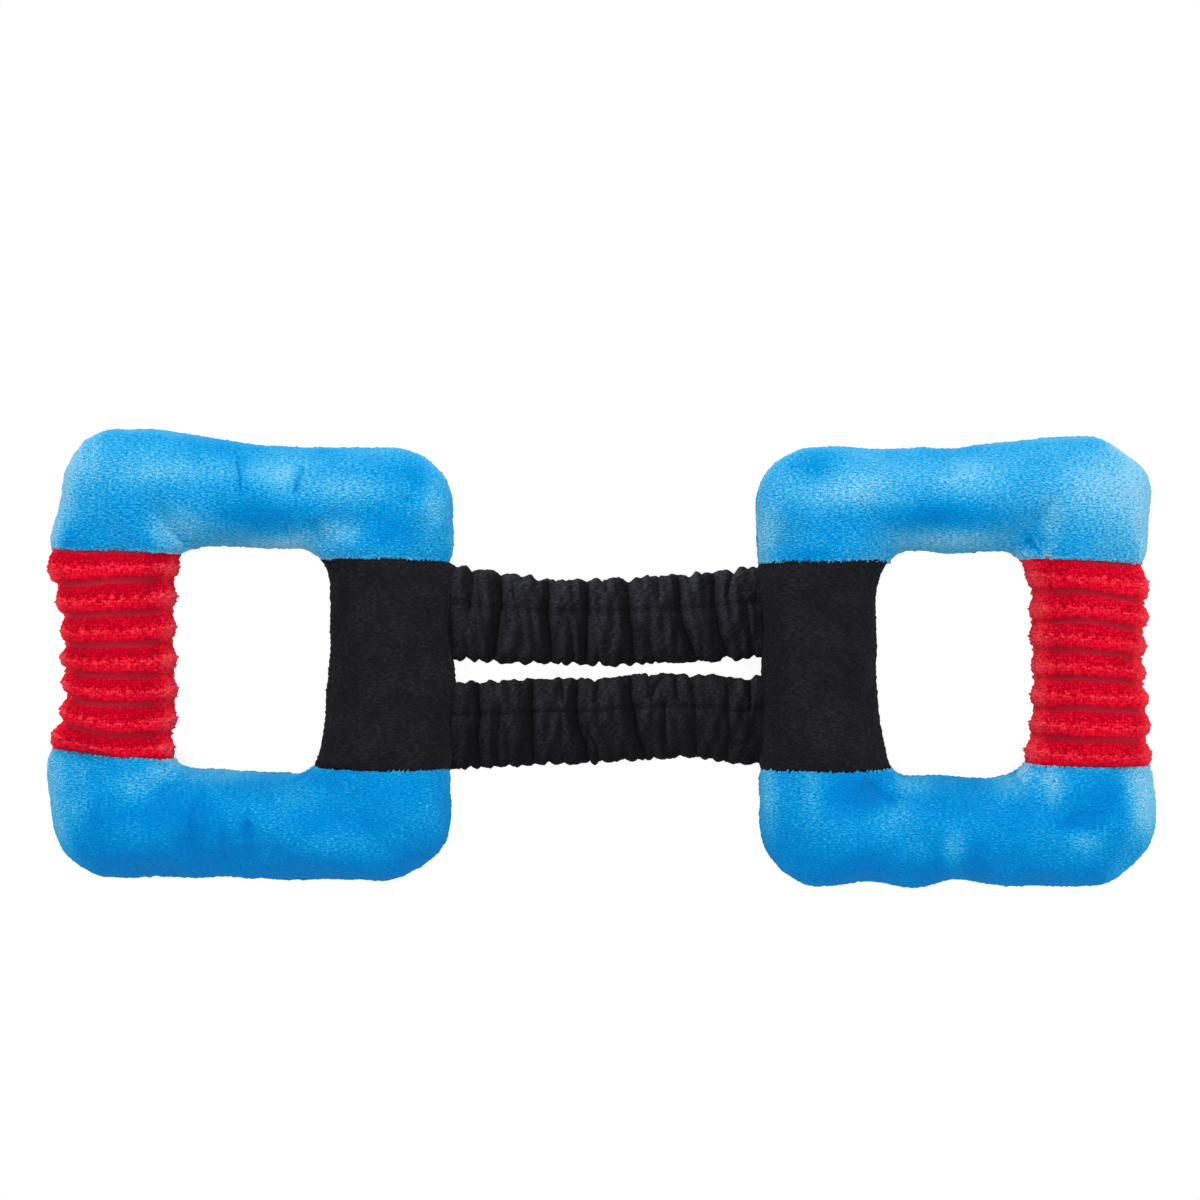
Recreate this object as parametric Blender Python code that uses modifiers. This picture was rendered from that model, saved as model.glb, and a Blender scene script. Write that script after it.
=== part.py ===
"""Plush dog tug toy: two stuffed square handles joined by two gathered elastic straps.

Metres, +Z up. The toy lies flat on the floor at Z = 0, its length along X and its width
along Y. Each handle is a ring of four stuffed bars: two blue cross bars with the corners,
a red ribbed grip at the outer end and a black bar at the strap end. Every bar has a front
and a back cover, sewn together round the outline and round the hand opening.
"""

import math
from dataclasses import dataclass

import bmesh
import bpy
from mathutils import Vector

MM = 0.001
TOY_NAME = "plush_dog_tug_toy"

# Fits
CLEARANCE = 0.3 * MM
CUTTER_OVERRUN = 6 * MM
MERGE_DISTANCE = 0.01 * MM
FLAT_DEPTH = 0.5 * MM
FILL_CLEARANCE = 0.6 * MM

# Handle outline, seen from above; its own X runs outwards from the strap seam
STRAP_BAR_WIDTH = 48.6 * MM
OPENING_LENGTH = 61 * MM
GRIP_WIDTH = 50 * MM
OPENING_WIDTH = 88 * MM
CROSS_BAR_WIDTH_AT_STRAP = 42.6 * MM
CROSS_BAR_WIDTH_AT_GRIP = 45.8 * MM
OUTER_CORNER_RADIUS = 25 * MM
OPENING_CORNER_RADIUS = 9 * MM
GRIP_WAIST = 2 * MM
LEFT_HANDLE_TURN = math.radians(-1.9)
RIGHT_HANDLE_TURN = math.radians(0.75)

# Half thickness of the stuffed bars, at their middle and at the seams across them
CROSS_BAR_LOFT = 21 * MM
GRIP_LOFT = 21 * MM
STRAP_BAR_LOFT = 20.2 * MM
SEAM_LOFT = 19.2 * MM

# Covers and filling
COVER_THICKNESS = 2.6 * MM
RIB_PILE = 3.2 * MM
GROOVE_PILE = 0.9 * MM
RIB_COUNT = 7
RIB_SHOULDER_SHARE = 0.16

# Cross section of a stuffed bar
SECTION_STEPS = 5
LIP_SHARE = 0.1
CORNER_COLUMNS = 5
OPENING_COLUMNS = 3
STRAP_BAR_ROWS = 6
FILL_SIDE_ROWS = 4
SWELL_POWER = 4
ARC_STEPS = 8
HALF_SHARE = 0.5

# Straps
STRAP_LENGTH = 124 * MM
STRAP_MARGIN = 3.4 * MM
STRAP_END_SPREAD = 1 * MM
STRAP_THICKNESS = 13 * MM
STRAP_END_THICKNESS = 7.5 * MM
STRAP_GAP = 6 * MM
STRAP_OFFSET = -1.5 * MM
FOLD_COUNT = 14
FOLD_DEPTH = 1.5 * MM
FOLD_EDGE_DEPTH = 1 * MM
FOLD_DRIFT_SHARE = 0.22
CHANNEL_SHARE = 0.66
SLEEVE_ANGLES = tuple(math.radians(a) for a in (0, 32, 62, 88, 104, 120, 150, 180))
CHANNEL_ANGLE_INDEX = 4
JOINT_SHARES = {"fold_left": -0.375, "twist": -0.125, "stretch": 0.125, "fold_right": 0.375}

# Elastic webbing inside each strap, and the stitching that holds it
ELASTIC_MARGIN = 5 * MM
ELASTIC_THICKNESS = 1.3 * MM
ELASTIC_TAIL = 12 * MM
TAIL_ROOM = 2 * MM
TACK_LENGTH = 3 * MM
TACK_WALL = 0.8 * MM
TACK_SIDE_ROOM = 0.9 * MM
THREAD_RADIUS = 0.5 * MM

# Squeaker in each grip
SQUEAKER_RADIUS = 12.5 * MM
SQUEAKER_HEIGHT = 14 * MM
SQUEAKER_WALL = 1.2 * MM
SQUEAKER_MOUTH_RADIUS = 4 * MM
SQUEAKER_BELLY_SHARE = 0.62
REED_HEIGHT = 2 * MM
TURN_STEPS = 16

# Derived sizes
HANDLE_LENGTH = STRAP_BAR_WIDTH + OPENING_LENGTH + GRIP_WIDTH
OPENING_HALF = OPENING_WIDTH / 2
WIDTH_HALF_AT_STRAP = OPENING_HALF + CROSS_BAR_WIDTH_AT_STRAP
WIDTH_HALF_AT_GRIP = OPENING_HALF + CROSS_BAR_WIDTH_AT_GRIP
GRIP_SIDE_X = STRAP_BAR_WIDTH + OPENING_LENGTH
MID_HEIGHT = max(CROSS_BAR_LOFT, GRIP_LOFT, STRAP_BAR_LOFT) - FLAT_DEPTH
ARC_MIDDLE = math.radians(45)
SEAM_Y = OPENING_HALF - OPENING_CORNER_RADIUS * (1 - math.sin(ARC_MIDDLE))
TAPER = math.atan2(WIDTH_HALF_AT_GRIP - WIDTH_HALF_AT_STRAP, HANDLE_LENGTH)
STRAP_WIDTH = SEAM_Y - STRAP_GAP / 2 - STRAP_MARGIN
STRAP_END_WIDTH = STRAP_WIDTH + STRAP_END_SPREAD
STRAP_PITCH = STRAP_GAP + STRAP_WIDTH
ELASTIC_WIDTH = STRAP_WIDTH - 2 * ELASTIC_MARGIN
FILL_INSET = max(RIB_PILE, COVER_THICKNESS) + FILL_CLEARANCE
THREAD_LIFT = THREAD_RADIUS + 2 * CLEARANCE


@dataclass
class Section:
    """One slice through a stuffed bar: its two seam points seen from above, and its loft."""

    inner: Vector
    outer: Vector
    loft: float


@dataclass
class Finish:
    """Colour and roughness of one cloth or plastic."""

    name: str
    colour: tuple
    roughness: float


BLUE_PLUSH = Finish("blue_plush", (0.02, 0.28, 0.64, 1), 0.9)
RED_RIBBED_PLUSH = Finish("red_ribbed_plush", (0.5, 0.01, 0.02, 1), 0.95)
BLACK_PLUSH = Finish("black_plush", (0.012, 0.012, 0.016, 1), 0.9)
WHITE_FIBRE = Finish("white_fibre", (0.8, 0.8, 0.78, 1), 1)
BLACK_ELASTIC = Finish("black_elastic", (0.02, 0.02, 0.02, 1), 0.7)
BLACK_THREAD = Finish("black_thread", (0.015, 0.015, 0.015, 1), 0.6)
SQUEAKER_PLASTIC = Finish("squeaker_plastic", (0.75, 0.75, 0.72, 1), 0.4)


def remove_old_objects():
    """Empties the scene before the toy is made."""
    for old in list(bpy.data.objects):
        bpy.data.objects.remove(old, do_unlink=True)


def new_collection(name):
    """Makes a collection in the scene and returns it."""
    collection = bpy.data.collections.new(name)
    bpy.context.scene.collection.children.link(collection)
    return collection


def dress(obj, finish):
    """Gives an object a material of its own."""
    material = bpy.data.materials.new(f"{obj.name}_{finish.name}")
    material.use_nodes = True
    shader = material.node_tree.nodes["Principled BSDF"]
    shader.inputs["Base Color"].default_value = finish.colour
    shader.inputs["Roughness"].default_value = finish.roughness
    shader.inputs["Metallic"].default_value = 0
    material.diffuse_color = finish.colour
    obj.data.materials.append(material)


def add_empty(name, parts, location, parent=None, turn=0.0):
    """Adds an empty that carries the pieces of one body."""
    empty = bpy.data.objects.new(name, None)
    empty.location = location
    empty.rotation_euler = (0, 0, turn)
    empty.parent = parent
    parts.objects.link(empty)
    return empty


def object_from(bm, name, collection, parent):
    """Turns a bmesh into a smooth shaded object under its parent."""
    mesh = bpy.data.meshes.new(name)
    bm.to_mesh(mesh)
    bm.free()
    mesh.shade_smooth()
    obj = bpy.data.objects.new(name, mesh)
    obj.parent = parent
    collection.objects.link(obj)
    return obj


def box_object(name, low, high, collection, parent):
    """Makes a box between two corners."""
    bm = bmesh.new()
    bmesh.ops.create_cube(bm, size=1)
    for vert in bm.verts:
        vert.co = Vector(h if c > 0 else l for c, l, h in zip(vert.co, low, high))
    obj = object_from(bm, name, collection, parent)
    obj.data.shade_flat()
    return obj


def as_cutter(obj):
    """Marks an object as a cutter, which is not part of the toy."""
    obj.hide_render = True
    obj.display_type = 'WIRE'
    return obj


def cut(obj, cutter):
    """Cuts one object out of another."""
    boolean = obj.modifiers.new(f"cut_{cutter.name}", 'BOOLEAN')
    boolean.operation = 'DIFFERENCE'
    boolean.solver = 'EXACT'
    boolean.object = cutter


def mapped_grid(columns, rows, place):
    """Makes a grid whose vertices stand where place(column, row) puts them."""
    bm = bmesh.new()
    bmesh.ops.create_grid(bm, x_segments=columns, y_segments=rows, size=HALF_SHARE)
    for vert in bm.verts:
        column = round((vert.co.x + HALF_SHARE) * columns)
        row = round((vert.co.y + HALF_SHARE) * rows)
        vert.co = place(column, row)
    return bm


def mix(start, end, share):
    """Value between two others."""
    return start + (end - start) * share


def swell(share):
    """Fullness along a stuffed bar: 0 at the seams at its ends, 1 at its middle."""
    return 1 - abs(2 * share - 1) ** SWELL_POWER


def arc(centre, radius, start, end):
    """Points along an arc seen from above."""
    turns = [mix(start, end, step / ARC_STEPS) for step in range(ARC_STEPS + 1)]
    return [centre + radius * Vector((math.cos(a), math.sin(a))) for a in turns]


def spread(path, count):
    """Points at equal distances along a path, both ends included."""
    lengths = [(b - a).length for a, b in zip(path, path[1:])]
    total = sum(lengths)
    places = []
    for step in range(count + 1):
        left = total * step / count
        index = 0
        while index < len(lengths) - 1 and left > lengths[index]:
            left -= lengths[index]
            index += 1
        places.append(path[index].lerp(path[index + 1], min(1, left / lengths[index])))
    return places


def outline_y(x):
    """Half width of the handle's straight outer edge at a distance from the strap seam."""
    return WIDTH_HALF_AT_STRAP + x * math.tan(TAPER)


def outer_corner(x):
    """Centre of the outer corner's arc, which stands at this X."""
    return Vector((x, outline_y(x) - OUTER_CORNER_RADIUS / math.cos(TAPER)))


def cross_bar_sections(inset):
    """Sections of the cross bar at +Y, from the strap seam to the grip seam."""
    opening_y = OPENING_HALF - OPENING_CORNER_RADIUS
    strap_x = STRAP_BAR_WIDTH + OPENING_CORNER_RADIUS
    grip_x = GRIP_SIDE_X - OPENING_CORNER_RADIUS
    inner_radius = OPENING_CORNER_RADIUS + inset
    outer_radius = OUTER_CORNER_RADIUS - inset
    up = math.pi / 2
    strap_top = Vector((strap_x, outline_y(strap_x) - inset))
    grip_top = Vector((grip_x, outline_y(grip_x) - inset))
    strap_arc = arc(outer_corner(OUTER_CORNER_RADIUS), outer_radius, math.pi, up + TAPER)
    grip_arc = arc(outer_corner(HANDLE_LENGTH - OUTER_CORNER_RADIUS), outer_radius, up + TAPER, 0)
    outer = spread([Vector((inset, SEAM_Y))] + strap_arc + [strap_top], CORNER_COLUMNS)
    outer += spread([strap_top, grip_top], OPENING_COLUMNS)[1:]
    outer += spread([grip_top] + grip_arc + [Vector((HANDLE_LENGTH - inset, SEAM_Y))],
                    CORNER_COLUMNS)[1:]
    seam_turn = math.asin((SEAM_Y - opening_y) / inner_radius)
    strap_in = arc(Vector((strap_x, opening_y)), inner_radius, math.pi - seam_turn, up)
    grip_in = arc(Vector((grip_x, opening_y)), inner_radius, up, seam_turn)
    inner = spread(strap_in, CORNER_COLUMNS)
    inner += spread([strap_in[-1], grip_in[0]], OPENING_COLUMNS)[1:]
    inner += spread(grip_in, CORNER_COLUMNS)[1:]
    last = len(outer) - 1
    return [
        Section(a, b, mix(SEAM_LOFT, CROSS_BAR_LOFT, swell(step / last)) - inset)
        for step, (a, b) in enumerate(zip(inner, outer))
    ]


def opening_bulge(y, inset):
    """How far a side bar reaches into the opening's rounded corner, at this Y."""
    radius = OPENING_CORNER_RADIUS + inset
    over = max(0, abs(y) - (OPENING_HALF - OPENING_CORNER_RADIUS))
    return radius - math.sqrt(radius ** 2 - over ** 2)


def grip_sections(rows, inset):
    """Sections of the grip at the given Y values, from +Y to -Y."""
    sections = []
    for y in rows:
        fullness = swell(HALF_SHARE + y / (2 * SEAM_Y))
        inner_x = GRIP_SIDE_X + inset - opening_bulge(y, inset)
        outer_x = HANDLE_LENGTH - inset - GRIP_WAIST * (1 - (y / SEAM_Y) ** 2)
        loft = mix(SEAM_LOFT, GRIP_LOFT, fullness) - inset
        sections.append(Section(Vector((inner_x, y)), Vector((outer_x, y)), loft))
    return sections


def strap_bar_sections(rows, inset):
    """Sections of the black bar at the given Y values, from -Y to +Y."""
    sections = []
    for y in rows:
        fullness = swell(HALF_SHARE + y / (2 * SEAM_Y))
        inner_x = STRAP_BAR_WIDTH - inset + opening_bulge(y, inset)
        loft = mix(SEAM_LOFT, STRAP_BAR_LOFT, fullness) - inset
        sections.append(Section(Vector((inner_x, y)), Vector((inset, y)), loft))
    return sections


def mirrored(sections):
    """The same sections on the -Y side, in the order that keeps them running clockwise."""
    flip = Vector((1, -1))
    return [Section(s.inner * flip, s.outer * flip, s.loft) for s in reversed(sections)]


def drawn_back(sections, amount):
    """Sections whose first and last slices stand back from the seam along Y."""
    inward = 1 if sections[len(sections) // 2].outer.y > 0 else -1
    for section in (sections[0], sections[-1]):
        for point in (section.inner, section.outer):
            point.y += inward * amount
    return sections


def rise_profile(lip):
    """Shares across and up a half section, with a short upright lip at both seams."""
    steepest = math.sin(math.pi * (SECTION_STEPS // 2) / SECTION_STEPS)
    profile = []
    for step in range(SECTION_STEPS + 1):
        turn = math.pi * step / SECTION_STEPS
        rise = min(1, math.sin(turn) / steepest)
        profile.append(((1 - math.cos(turn)) / 2, mix(lip, 1, rise)))
    return profile


def cover_sheet(name, sections, facing, seam_gaps, parts, handle):
    """Makes the open outer sheet of one cover.

    facing is 1 for a front cover and -1 for a back one. seam_gaps are the half gaps
    between front and back at the opening and at the outer edge.
    """
    profile = [(0, 0)] + rise_profile(LIP_SHARE) + [(1, 0)]
    ordered = sections if facing > 0 else sections[::-1]

    def place(column, row):
        section = ordered[column]
        across, rise = profile[row]
        base = mix(seam_gaps[0], seam_gaps[1], across)
        spot = section.inner.lerp(section.outer, across)
        return (spot.x, spot.y, facing * mix(base, section.loft, rise))

    bm = mapped_grid(len(ordered) - 1, len(profile) - 1, place)
    return object_from(bm, name, parts, handle)


def add_cover_wall(obj, thickness, outwards=False):
    """Gives a cover sheet its thickness."""
    wall = obj.modifiers.new("cover_wall", 'SOLIDIFY')
    wall.thickness = thickness
    wall.offset = 1 if outwards else -1
    return wall


def press_flat(obj, loft, floor_cutter):
    """Flattens a back cover where the toy's weight presses it on the floor."""
    if loft > MID_HEIGHT:
        cut(obj, floor_cutter)


def cross_bar_covers(side, end, along, handle, parts, floor_cutter):
    """Makes the front and back covers of one blue cross bar."""
    for facing, face in ((1, "front"), (-1, "back")):
        sections = cross_bar_sections(0)
        if along < 0:
            sections = mirrored(sections)
        sections = drawn_back(sections, CLEARANCE / 2)
        gaps = (CLEARANCE / 2, CLEARANCE / 2)
        obj = cover_sheet(f"{side}_{end}_bar_{face}", sections, facing, gaps, parts, handle)
        add_cover_wall(obj, COVER_THICKNESS)
        dress(obj, BLUE_PLUSH)
        if facing < 0:
            press_flat(obj, CROSS_BAR_LOFT, floor_cutter)


def rib_rows():
    """Y of each row of the ribbed cloth, from +Y to -Y, and its share of the pile."""
    start = SEAM_Y - CLEARANCE / 2
    pitch = 2 * start / RIB_COUNT
    rows = []
    for rib in range(RIB_COUNT):
        top = start - rib * pitch
        rows.append((top, 0))
        rows.append((top - pitch * RIB_SHOULDER_SHARE, 1))
        rows.append((top - pitch * (1 - RIB_SHOULDER_SHARE), 1))
    rows.append((-start, 0))
    return rows


def grip_covers(side, handle, parts, floor_cutter):
    """Makes the ribbed front and back covers of one grip."""
    rows = rib_rows()
    for facing, face in ((1, "front"), (-1, "back")):
        sections = grip_sections([y for y, _ in rows], RIB_PILE)
        gaps = (CLEARANCE / 2, CLEARANCE / 2)
        obj = cover_sheet(f"{side}_grip_{face}", sections, facing, gaps, parts, handle)
        pile = obj.vertex_groups.new(name="rib_pile")
        crests = {round(y / MERGE_DISTANCE) for y, share in rows if share}
        raised = [v.index for v in obj.data.vertices if round(v.co.y / MERGE_DISTANCE) in crests]
        pile.add(raised, 1, 'REPLACE')
        wall = add_cover_wall(obj, RIB_PILE, outwards=True)
        wall.vertex_group = pile.name
        wall.thickness_vertex_group = GROOVE_PILE / RIB_PILE
        dress(obj, RED_RIBBED_PLUSH)
        if facing < 0:
            press_flat(obj, GRIP_LOFT, floor_cutter)


def strap_bar_covers(side, handle, parts, floor_cutter):
    """Makes the front and back covers of one black bar, which hold the strap ends."""
    start = SEAM_Y - CLEARANCE / 2
    rows = [mix(-start, start, step / STRAP_BAR_ROWS) for step in range(STRAP_BAR_ROWS + 1)]
    for facing, face in ((1, "front"), (-1, "back")):
        sections = strap_bar_sections(rows, 0)
        gaps = (CLEARANCE / 2, ELASTIC_THICKNESS / 2 + CLEARANCE)
        obj = cover_sheet(f"{side}_strap_bar_{face}", sections, facing, gaps, parts, handle)
        add_cover_wall(obj, COVER_THICKNESS)
        dress(obj, BLACK_PLUSH)
        if facing < 0:
            press_flat(obj, STRAP_BAR_LOFT, floor_cutter)


def strap_places():
    """Name and Y of each strap's middle line."""
    return (("upper", STRAP_OFFSET + STRAP_PITCH / 2), ("lower", STRAP_OFFSET - STRAP_PITCH / 2))


def strap_reach(y_sign):
    """Low and high Y of the two elastics together, in a handle's own frame."""
    edges = [y_sign * y + way * ELASTIC_WIDTH / 2 for _, y in strap_places() for way in (1, -1)]
    return min(edges), max(edges)


def fill_ring():
    """Sections of the whole ring of stuffing, running clockwise from the strap seam."""
    straight = OPENING_HALF - OPENING_CORNER_RADIUS
    rows = [mix(straight, -straight, step / FILL_SIDE_ROWS) for step in range(FILL_SIDE_ROWS + 1)]
    bend = (straight + SEAM_Y) / 2
    rows = [bend] + rows + [-bend]
    top = cross_bar_sections(FILL_INSET)
    ring = top + grip_sections(rows, FILL_INSET)
    return ring + mirrored(top) + strap_bar_sections(rows[::-1], FILL_INSET)


def fibre_fill(side, y_sign, handle, parts, cutters):
    """Makes the ring of stuffing, with pockets for the squeaker and the strap ends."""
    ring = fill_ring()
    half = rise_profile(0)
    loop = half + [(across, -rise) for across, rise in half[-2:0:-1]]

    def place(column, row):
        section = ring[column % len(ring)]
        across, rise = loop[row % len(loop)]
        spot = section.inner.lerp(section.outer, across)
        return (spot.x, spot.y, rise * section.loft)

    bm = mapped_grid(len(ring), len(loop), place)
    bmesh.ops.remove_doubles(bm, verts=bm.verts, dist=MERGE_DISTANCE)
    fill = object_from(bm, f"{side}_fibre_fill", parts, handle)
    dress(fill, WHITE_FIBRE)
    cut(fill, strap_pocket(side, y_sign, handle, cutters))
    cut(fill, squeaker_pocket(side, handle, cutters))


def strap_pocket(side, y_sign, handle, cutters):
    """Makes the cutter of the slot that takes the elastics' ends and their stitching."""
    reach = TACK_WALL + ELASTIC_THICKNESS / 2 + 2 * CLEARANCE
    low_y, high_y = strap_reach(y_sign)
    room = TACK_SIDE_ROOM + TACK_WALL + CLEARANCE
    return as_cutter(box_object(
        f"{side}_strap_pocket", (-CUTTER_OVERRUN, low_y - room, -reach),
        (ELASTIC_TAIL + TAIL_ROOM, high_y + room, reach), cutters, handle))


def squeaker_pocket(side, handle, cutters):
    """Makes the cutter of the squeaker's bed, which is open towards the back cover."""
    radius = SQUEAKER_RADIUS + CLEARANCE
    bottom = GRIP_LOFT + CUTTER_OVERRUN
    top = SQUEAKER_HEIGHT / 2 + CLEARANCE
    middle = squeaker_place() + Vector((0, 0, (top - bottom) / 2))
    bm = bmesh.new()
    bmesh.ops.create_cone(bm, cap_ends=True, segments=TURN_STEPS, radius1=radius,
                          radius2=radius, depth=top + bottom)
    bmesh.ops.translate(bm, verts=bm.verts, vec=middle)
    return as_cutter(object_from(bm, f"{side}_squeaker_pocket", cutters, handle))


def squeaker_place():
    """Middle of the squeaker, in the middle of the grip."""
    return Vector((GRIP_SIDE_X + (GRIP_WIDTH - GRIP_WAIST) / 2, 0, 0))


def turned(name, profile, finish, handle, parts):
    """Turns a profile of radius and height, given down its outer side, about Z."""
    mesh = bpy.data.meshes.new(name)
    points = [(radius, 0, height) for radius, height in profile]
    edges = [(index, index + 1) for index in range(len(points) - 1)]
    mesh.from_pydata(points, edges, [])
    obj = bpy.data.objects.new(name, mesh)
    obj.parent = handle
    obj.location = squeaker_place()
    parts.objects.link(obj)
    screw = obj.modifiers.new("turn", 'SCREW')
    screw.steps = TURN_STEPS
    screw.render_steps = TURN_STEPS
    screw.use_merge_vertices = True
    screw.merge_threshold = MERGE_DISTANCE
    dress(obj, finish)
    return obj


def squeaker(side, handle, parts):
    """Makes the squeaker's open bulb and the reed in its mouth."""
    top = SQUEAKER_HEIGHT / 2
    belly = SQUEAKER_RADIUS
    shoulder = belly * SQUEAKER_BELLY_SHARE
    inside = top - SQUEAKER_WALL
    bulb = (
        (SQUEAKER_MOUTH_RADIUS, inside), (SQUEAKER_MOUTH_RADIUS, top), (shoulder, top),
        (belly, top / 2), (belly, -top / 2), (shoulder, -top), (0, -top),
    )
    hollow = (
        (0, -inside), (shoulder - SQUEAKER_WALL / 2, -inside),
        (belly - SQUEAKER_WALL, -top / 2 + SQUEAKER_WALL / 2),
        (belly - SQUEAKER_WALL, top / 2 - SQUEAKER_WALL / 2),
        (shoulder - SQUEAKER_WALL / 2, inside), (SQUEAKER_MOUTH_RADIUS, inside),
    )
    turned(f"{side}_squeaker_bulb", bulb + hollow, SQUEAKER_PLASTIC, handle, parts)
    reed_radius = SQUEAKER_MOUTH_RADIUS - CLEARANCE
    reed = ((0, top), (reed_radius, top), (reed_radius, top - REED_HEIGHT), (0, top - REED_HEIGHT))
    turned(f"{side}_squeaker_reed", reed, SQUEAKER_PLASTIC, handle, parts)


def strap_tacks(side, y_sign, handle, parts, cutters):
    """Makes the stitched loop that holds each elastic's end inside the strap seam."""
    for level, y in strap_places():
        middle = y_sign * y
        side_reach = ELASTIC_WIDTH / 2 + TACK_SIDE_ROOM
        start = COVER_THICKNESS + CLEARANCE
        height = ELASTIC_THICKNESS / 2 + CLEARANCE
        tack = box_object(
            f"{side}_{level}_strap_tack",
            (start, middle - side_reach - TACK_WALL, -height - TACK_WALL),
            (start + TACK_LENGTH, middle + side_reach + TACK_WALL, height + TACK_WALL),
            parts, handle)
        dress(tack, BLACK_THREAD)
        hole = box_object(
            f"{side}_{level}_tack_hole",
            (start - CUTTER_OVERRUN, middle - side_reach, -height),
            (start + TACK_LENGTH + CUTTER_OVERRUN, middle + side_reach, height),
            cutters, handle)
        cut(tack, as_cutter(hole))


def handle_pieces(side, y_sign, handle, parts, cutters, floor_cutter):
    """Makes everything that belongs to one handle."""
    for end, way in (("top", 1), ("bottom", -1)):
        cross_bar_covers(side, end, way * y_sign, handle, parts, floor_cutter)
    grip_covers(side, handle, parts, floor_cutter)
    strap_bar_covers(side, handle, parts, floor_cutter)
    fibre_fill(side, y_sign, handle, parts, cutters)
    squeaker(side, handle, parts)
    strap_tacks(side, y_sign, handle, parts, cutters)


def fold_stations(phase):
    """Shares along a strap of its valleys and ridges, a little uneven, as gathers fall."""
    count = 2 * FOLD_COUNT
    stations = []
    for step in range(count + 1):
        drift = FOLD_DRIFT_SHARE * math.sin(step * step + phase) if 0 < step < count else 0
        stations.append(((step + drift) / count, step % 2))
    return stations


def strap_end_x(y, way):
    """X of a strap's end at this Y, where it meets the turned handle's seam."""
    turn = RIGHT_HANDLE_TURN if way > 0 else LEFT_HANDLE_TURN
    return way * (STRAP_LENGTH / 2 - CLEARANCE) - y * math.tan(turn)


def strap_half_sizes(share):
    """Half width and half thickness of a strap at this share of its length."""
    fullness = swell(share)
    return (mix(STRAP_END_WIDTH, STRAP_WIDTH, fullness) / 2,
            mix(STRAP_END_THICKNESS, STRAP_THICKNESS, fullness) / 2)


def sleeve(level, middle, phase, body_x, body, parts, cutters):
    """Makes one gathered sleeve with the flat bore that the elastic runs in."""
    stations = fold_stations(phase)
    around = list(SLEEVE_ANGLES) + [2 * math.pi - a for a in SLEEVE_ANGLES[-2:0:-1]]
    channels = (CHANNEL_ANGLE_INDEX, len(around) - CHANNEL_ANGLE_INDEX)

    def place(column, row):
        share, ridge = stations[column]
        index = row % len(around)
        half_width, half_height = strap_half_sizes(share)
        if index in channels:
            half_height *= CHANNEL_SHARE
        elif not ridge:
            half_height -= FOLD_DEPTH
            half_width -= FOLD_EDGE_DEPTH
        y = middle - half_width * math.cos(around[index])
        x = mix(strap_end_x(y, -1), strap_end_x(y, 1), share)
        return (x - body_x, y - STRAP_OFFSET, half_height * math.sin(around[index]))

    bm = mapped_grid(len(stations) - 1, len(around), place)
    bmesh.ops.remove_doubles(bm, verts=bm.verts, dist=MERGE_DISTANCE)
    bmesh.ops.holes_fill(bm, edges=bm.edges)
    obj = object_from(bm, f"{level}_sleeve", parts, body)
    dress(obj, BLACK_PLUSH)
    reach = STRAP_LENGTH / 2 + CUTTER_OVERRUN
    half_width = ELASTIC_WIDTH / 2 + CLEARANCE
    half_height = ELASTIC_THICKNESS / 2 + CLEARANCE
    centre = middle - STRAP_OFFSET
    bore = box_object(
        f"{level}_sleeve_bore", (-reach - body_x, centre - half_width, -half_height),
        (reach - body_x, centre + half_width, half_height), cutters, body)
    cut(obj, as_cutter(bore))


def elastic(level, middle, body_x, body, parts):
    """Makes one flat elastic, which runs through its sleeve and into both handles."""
    reach = STRAP_LENGTH / 2 + ELASTIC_TAIL
    centre = middle - STRAP_OFFSET
    obj = box_object(
        f"{level}_elastic",
        (-reach - body_x, centre - ELASTIC_WIDTH / 2, -ELASTIC_THICKNESS / 2),
        (reach - body_x, centre + ELASTIC_WIDTH / 2, ELASTIC_THICKNESS / 2), parts, body)
    dress(obj, BLACK_ELASTIC)


def stitch_row(level, middle, phase, body_x, body, parts):
    """Makes the lengthwise thread that lies in a sleeve's stitched channel."""
    angle = SLEEVE_ANGLES[CHANNEL_ANGLE_INDEX]
    curve = bpy.data.curves.new(f"{level}_stitch_row", 'CURVE')
    curve.dimensions = '3D'
    curve.bevel_depth = THREAD_RADIUS
    curve.bevel_resolution = 1
    curve.use_fill_caps = True
    stations = fold_stations(phase)
    spline = curve.splines.new('POLY')
    spline.points.add(len(stations) - 1)
    for point, (share, _) in zip(spline.points, stations):
        half_width, half_height = strap_half_sizes(share)
        y = middle - half_width * math.cos(angle)
        x = mix(strap_end_x(y, -1), strap_end_x(y, 1), share)
        z = half_height * CHANNEL_SHARE * math.sin(angle) + THREAD_LIFT
        point.co = (x - body_x, y - STRAP_OFFSET, z, 1)
    obj = bpy.data.objects.new(f"{level}_stitch_row", curve)
    obj.parent = body
    parts.objects.link(obj)
    dress(obj, BLACK_THREAD)


def straps(bodies, parts, cutters):
    """Makes both straps. Each layer is carried by its own stretch of the strap."""
    for (level, middle), phase in zip(strap_places(), (0, 2)):
        elastic(level, middle, bodies["left"].x, bodies["left"].empty, parts)
        sleeve(level, middle, phase, bodies["middle"].x, bodies["middle"].empty, parts, cutters)
        stitch_row(level, middle, phase, bodies["right"].x, bodies["right"].empty, parts)


@dataclass
class StrapBody:
    """One stretch of the straps: the empty on its joint and that joint's X."""

    empty: bpy.types.Object
    x: float


def strap_bodies(toy, parts):
    """Makes the chain of empties on the joints' axes, from left to right."""
    chain = {}
    parent = toy
    last_place = Vector((0, 0, 0))
    for name, share in JOINT_SHARES.items():
        x = share * STRAP_LENGTH
        place = Vector((x, STRAP_OFFSET, 0))
        parent = add_empty(f"{name}_joint", parts, place - last_place, parent)
        chain[name] = StrapBody(parent, x)
        last_place = place
    return chain


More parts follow.
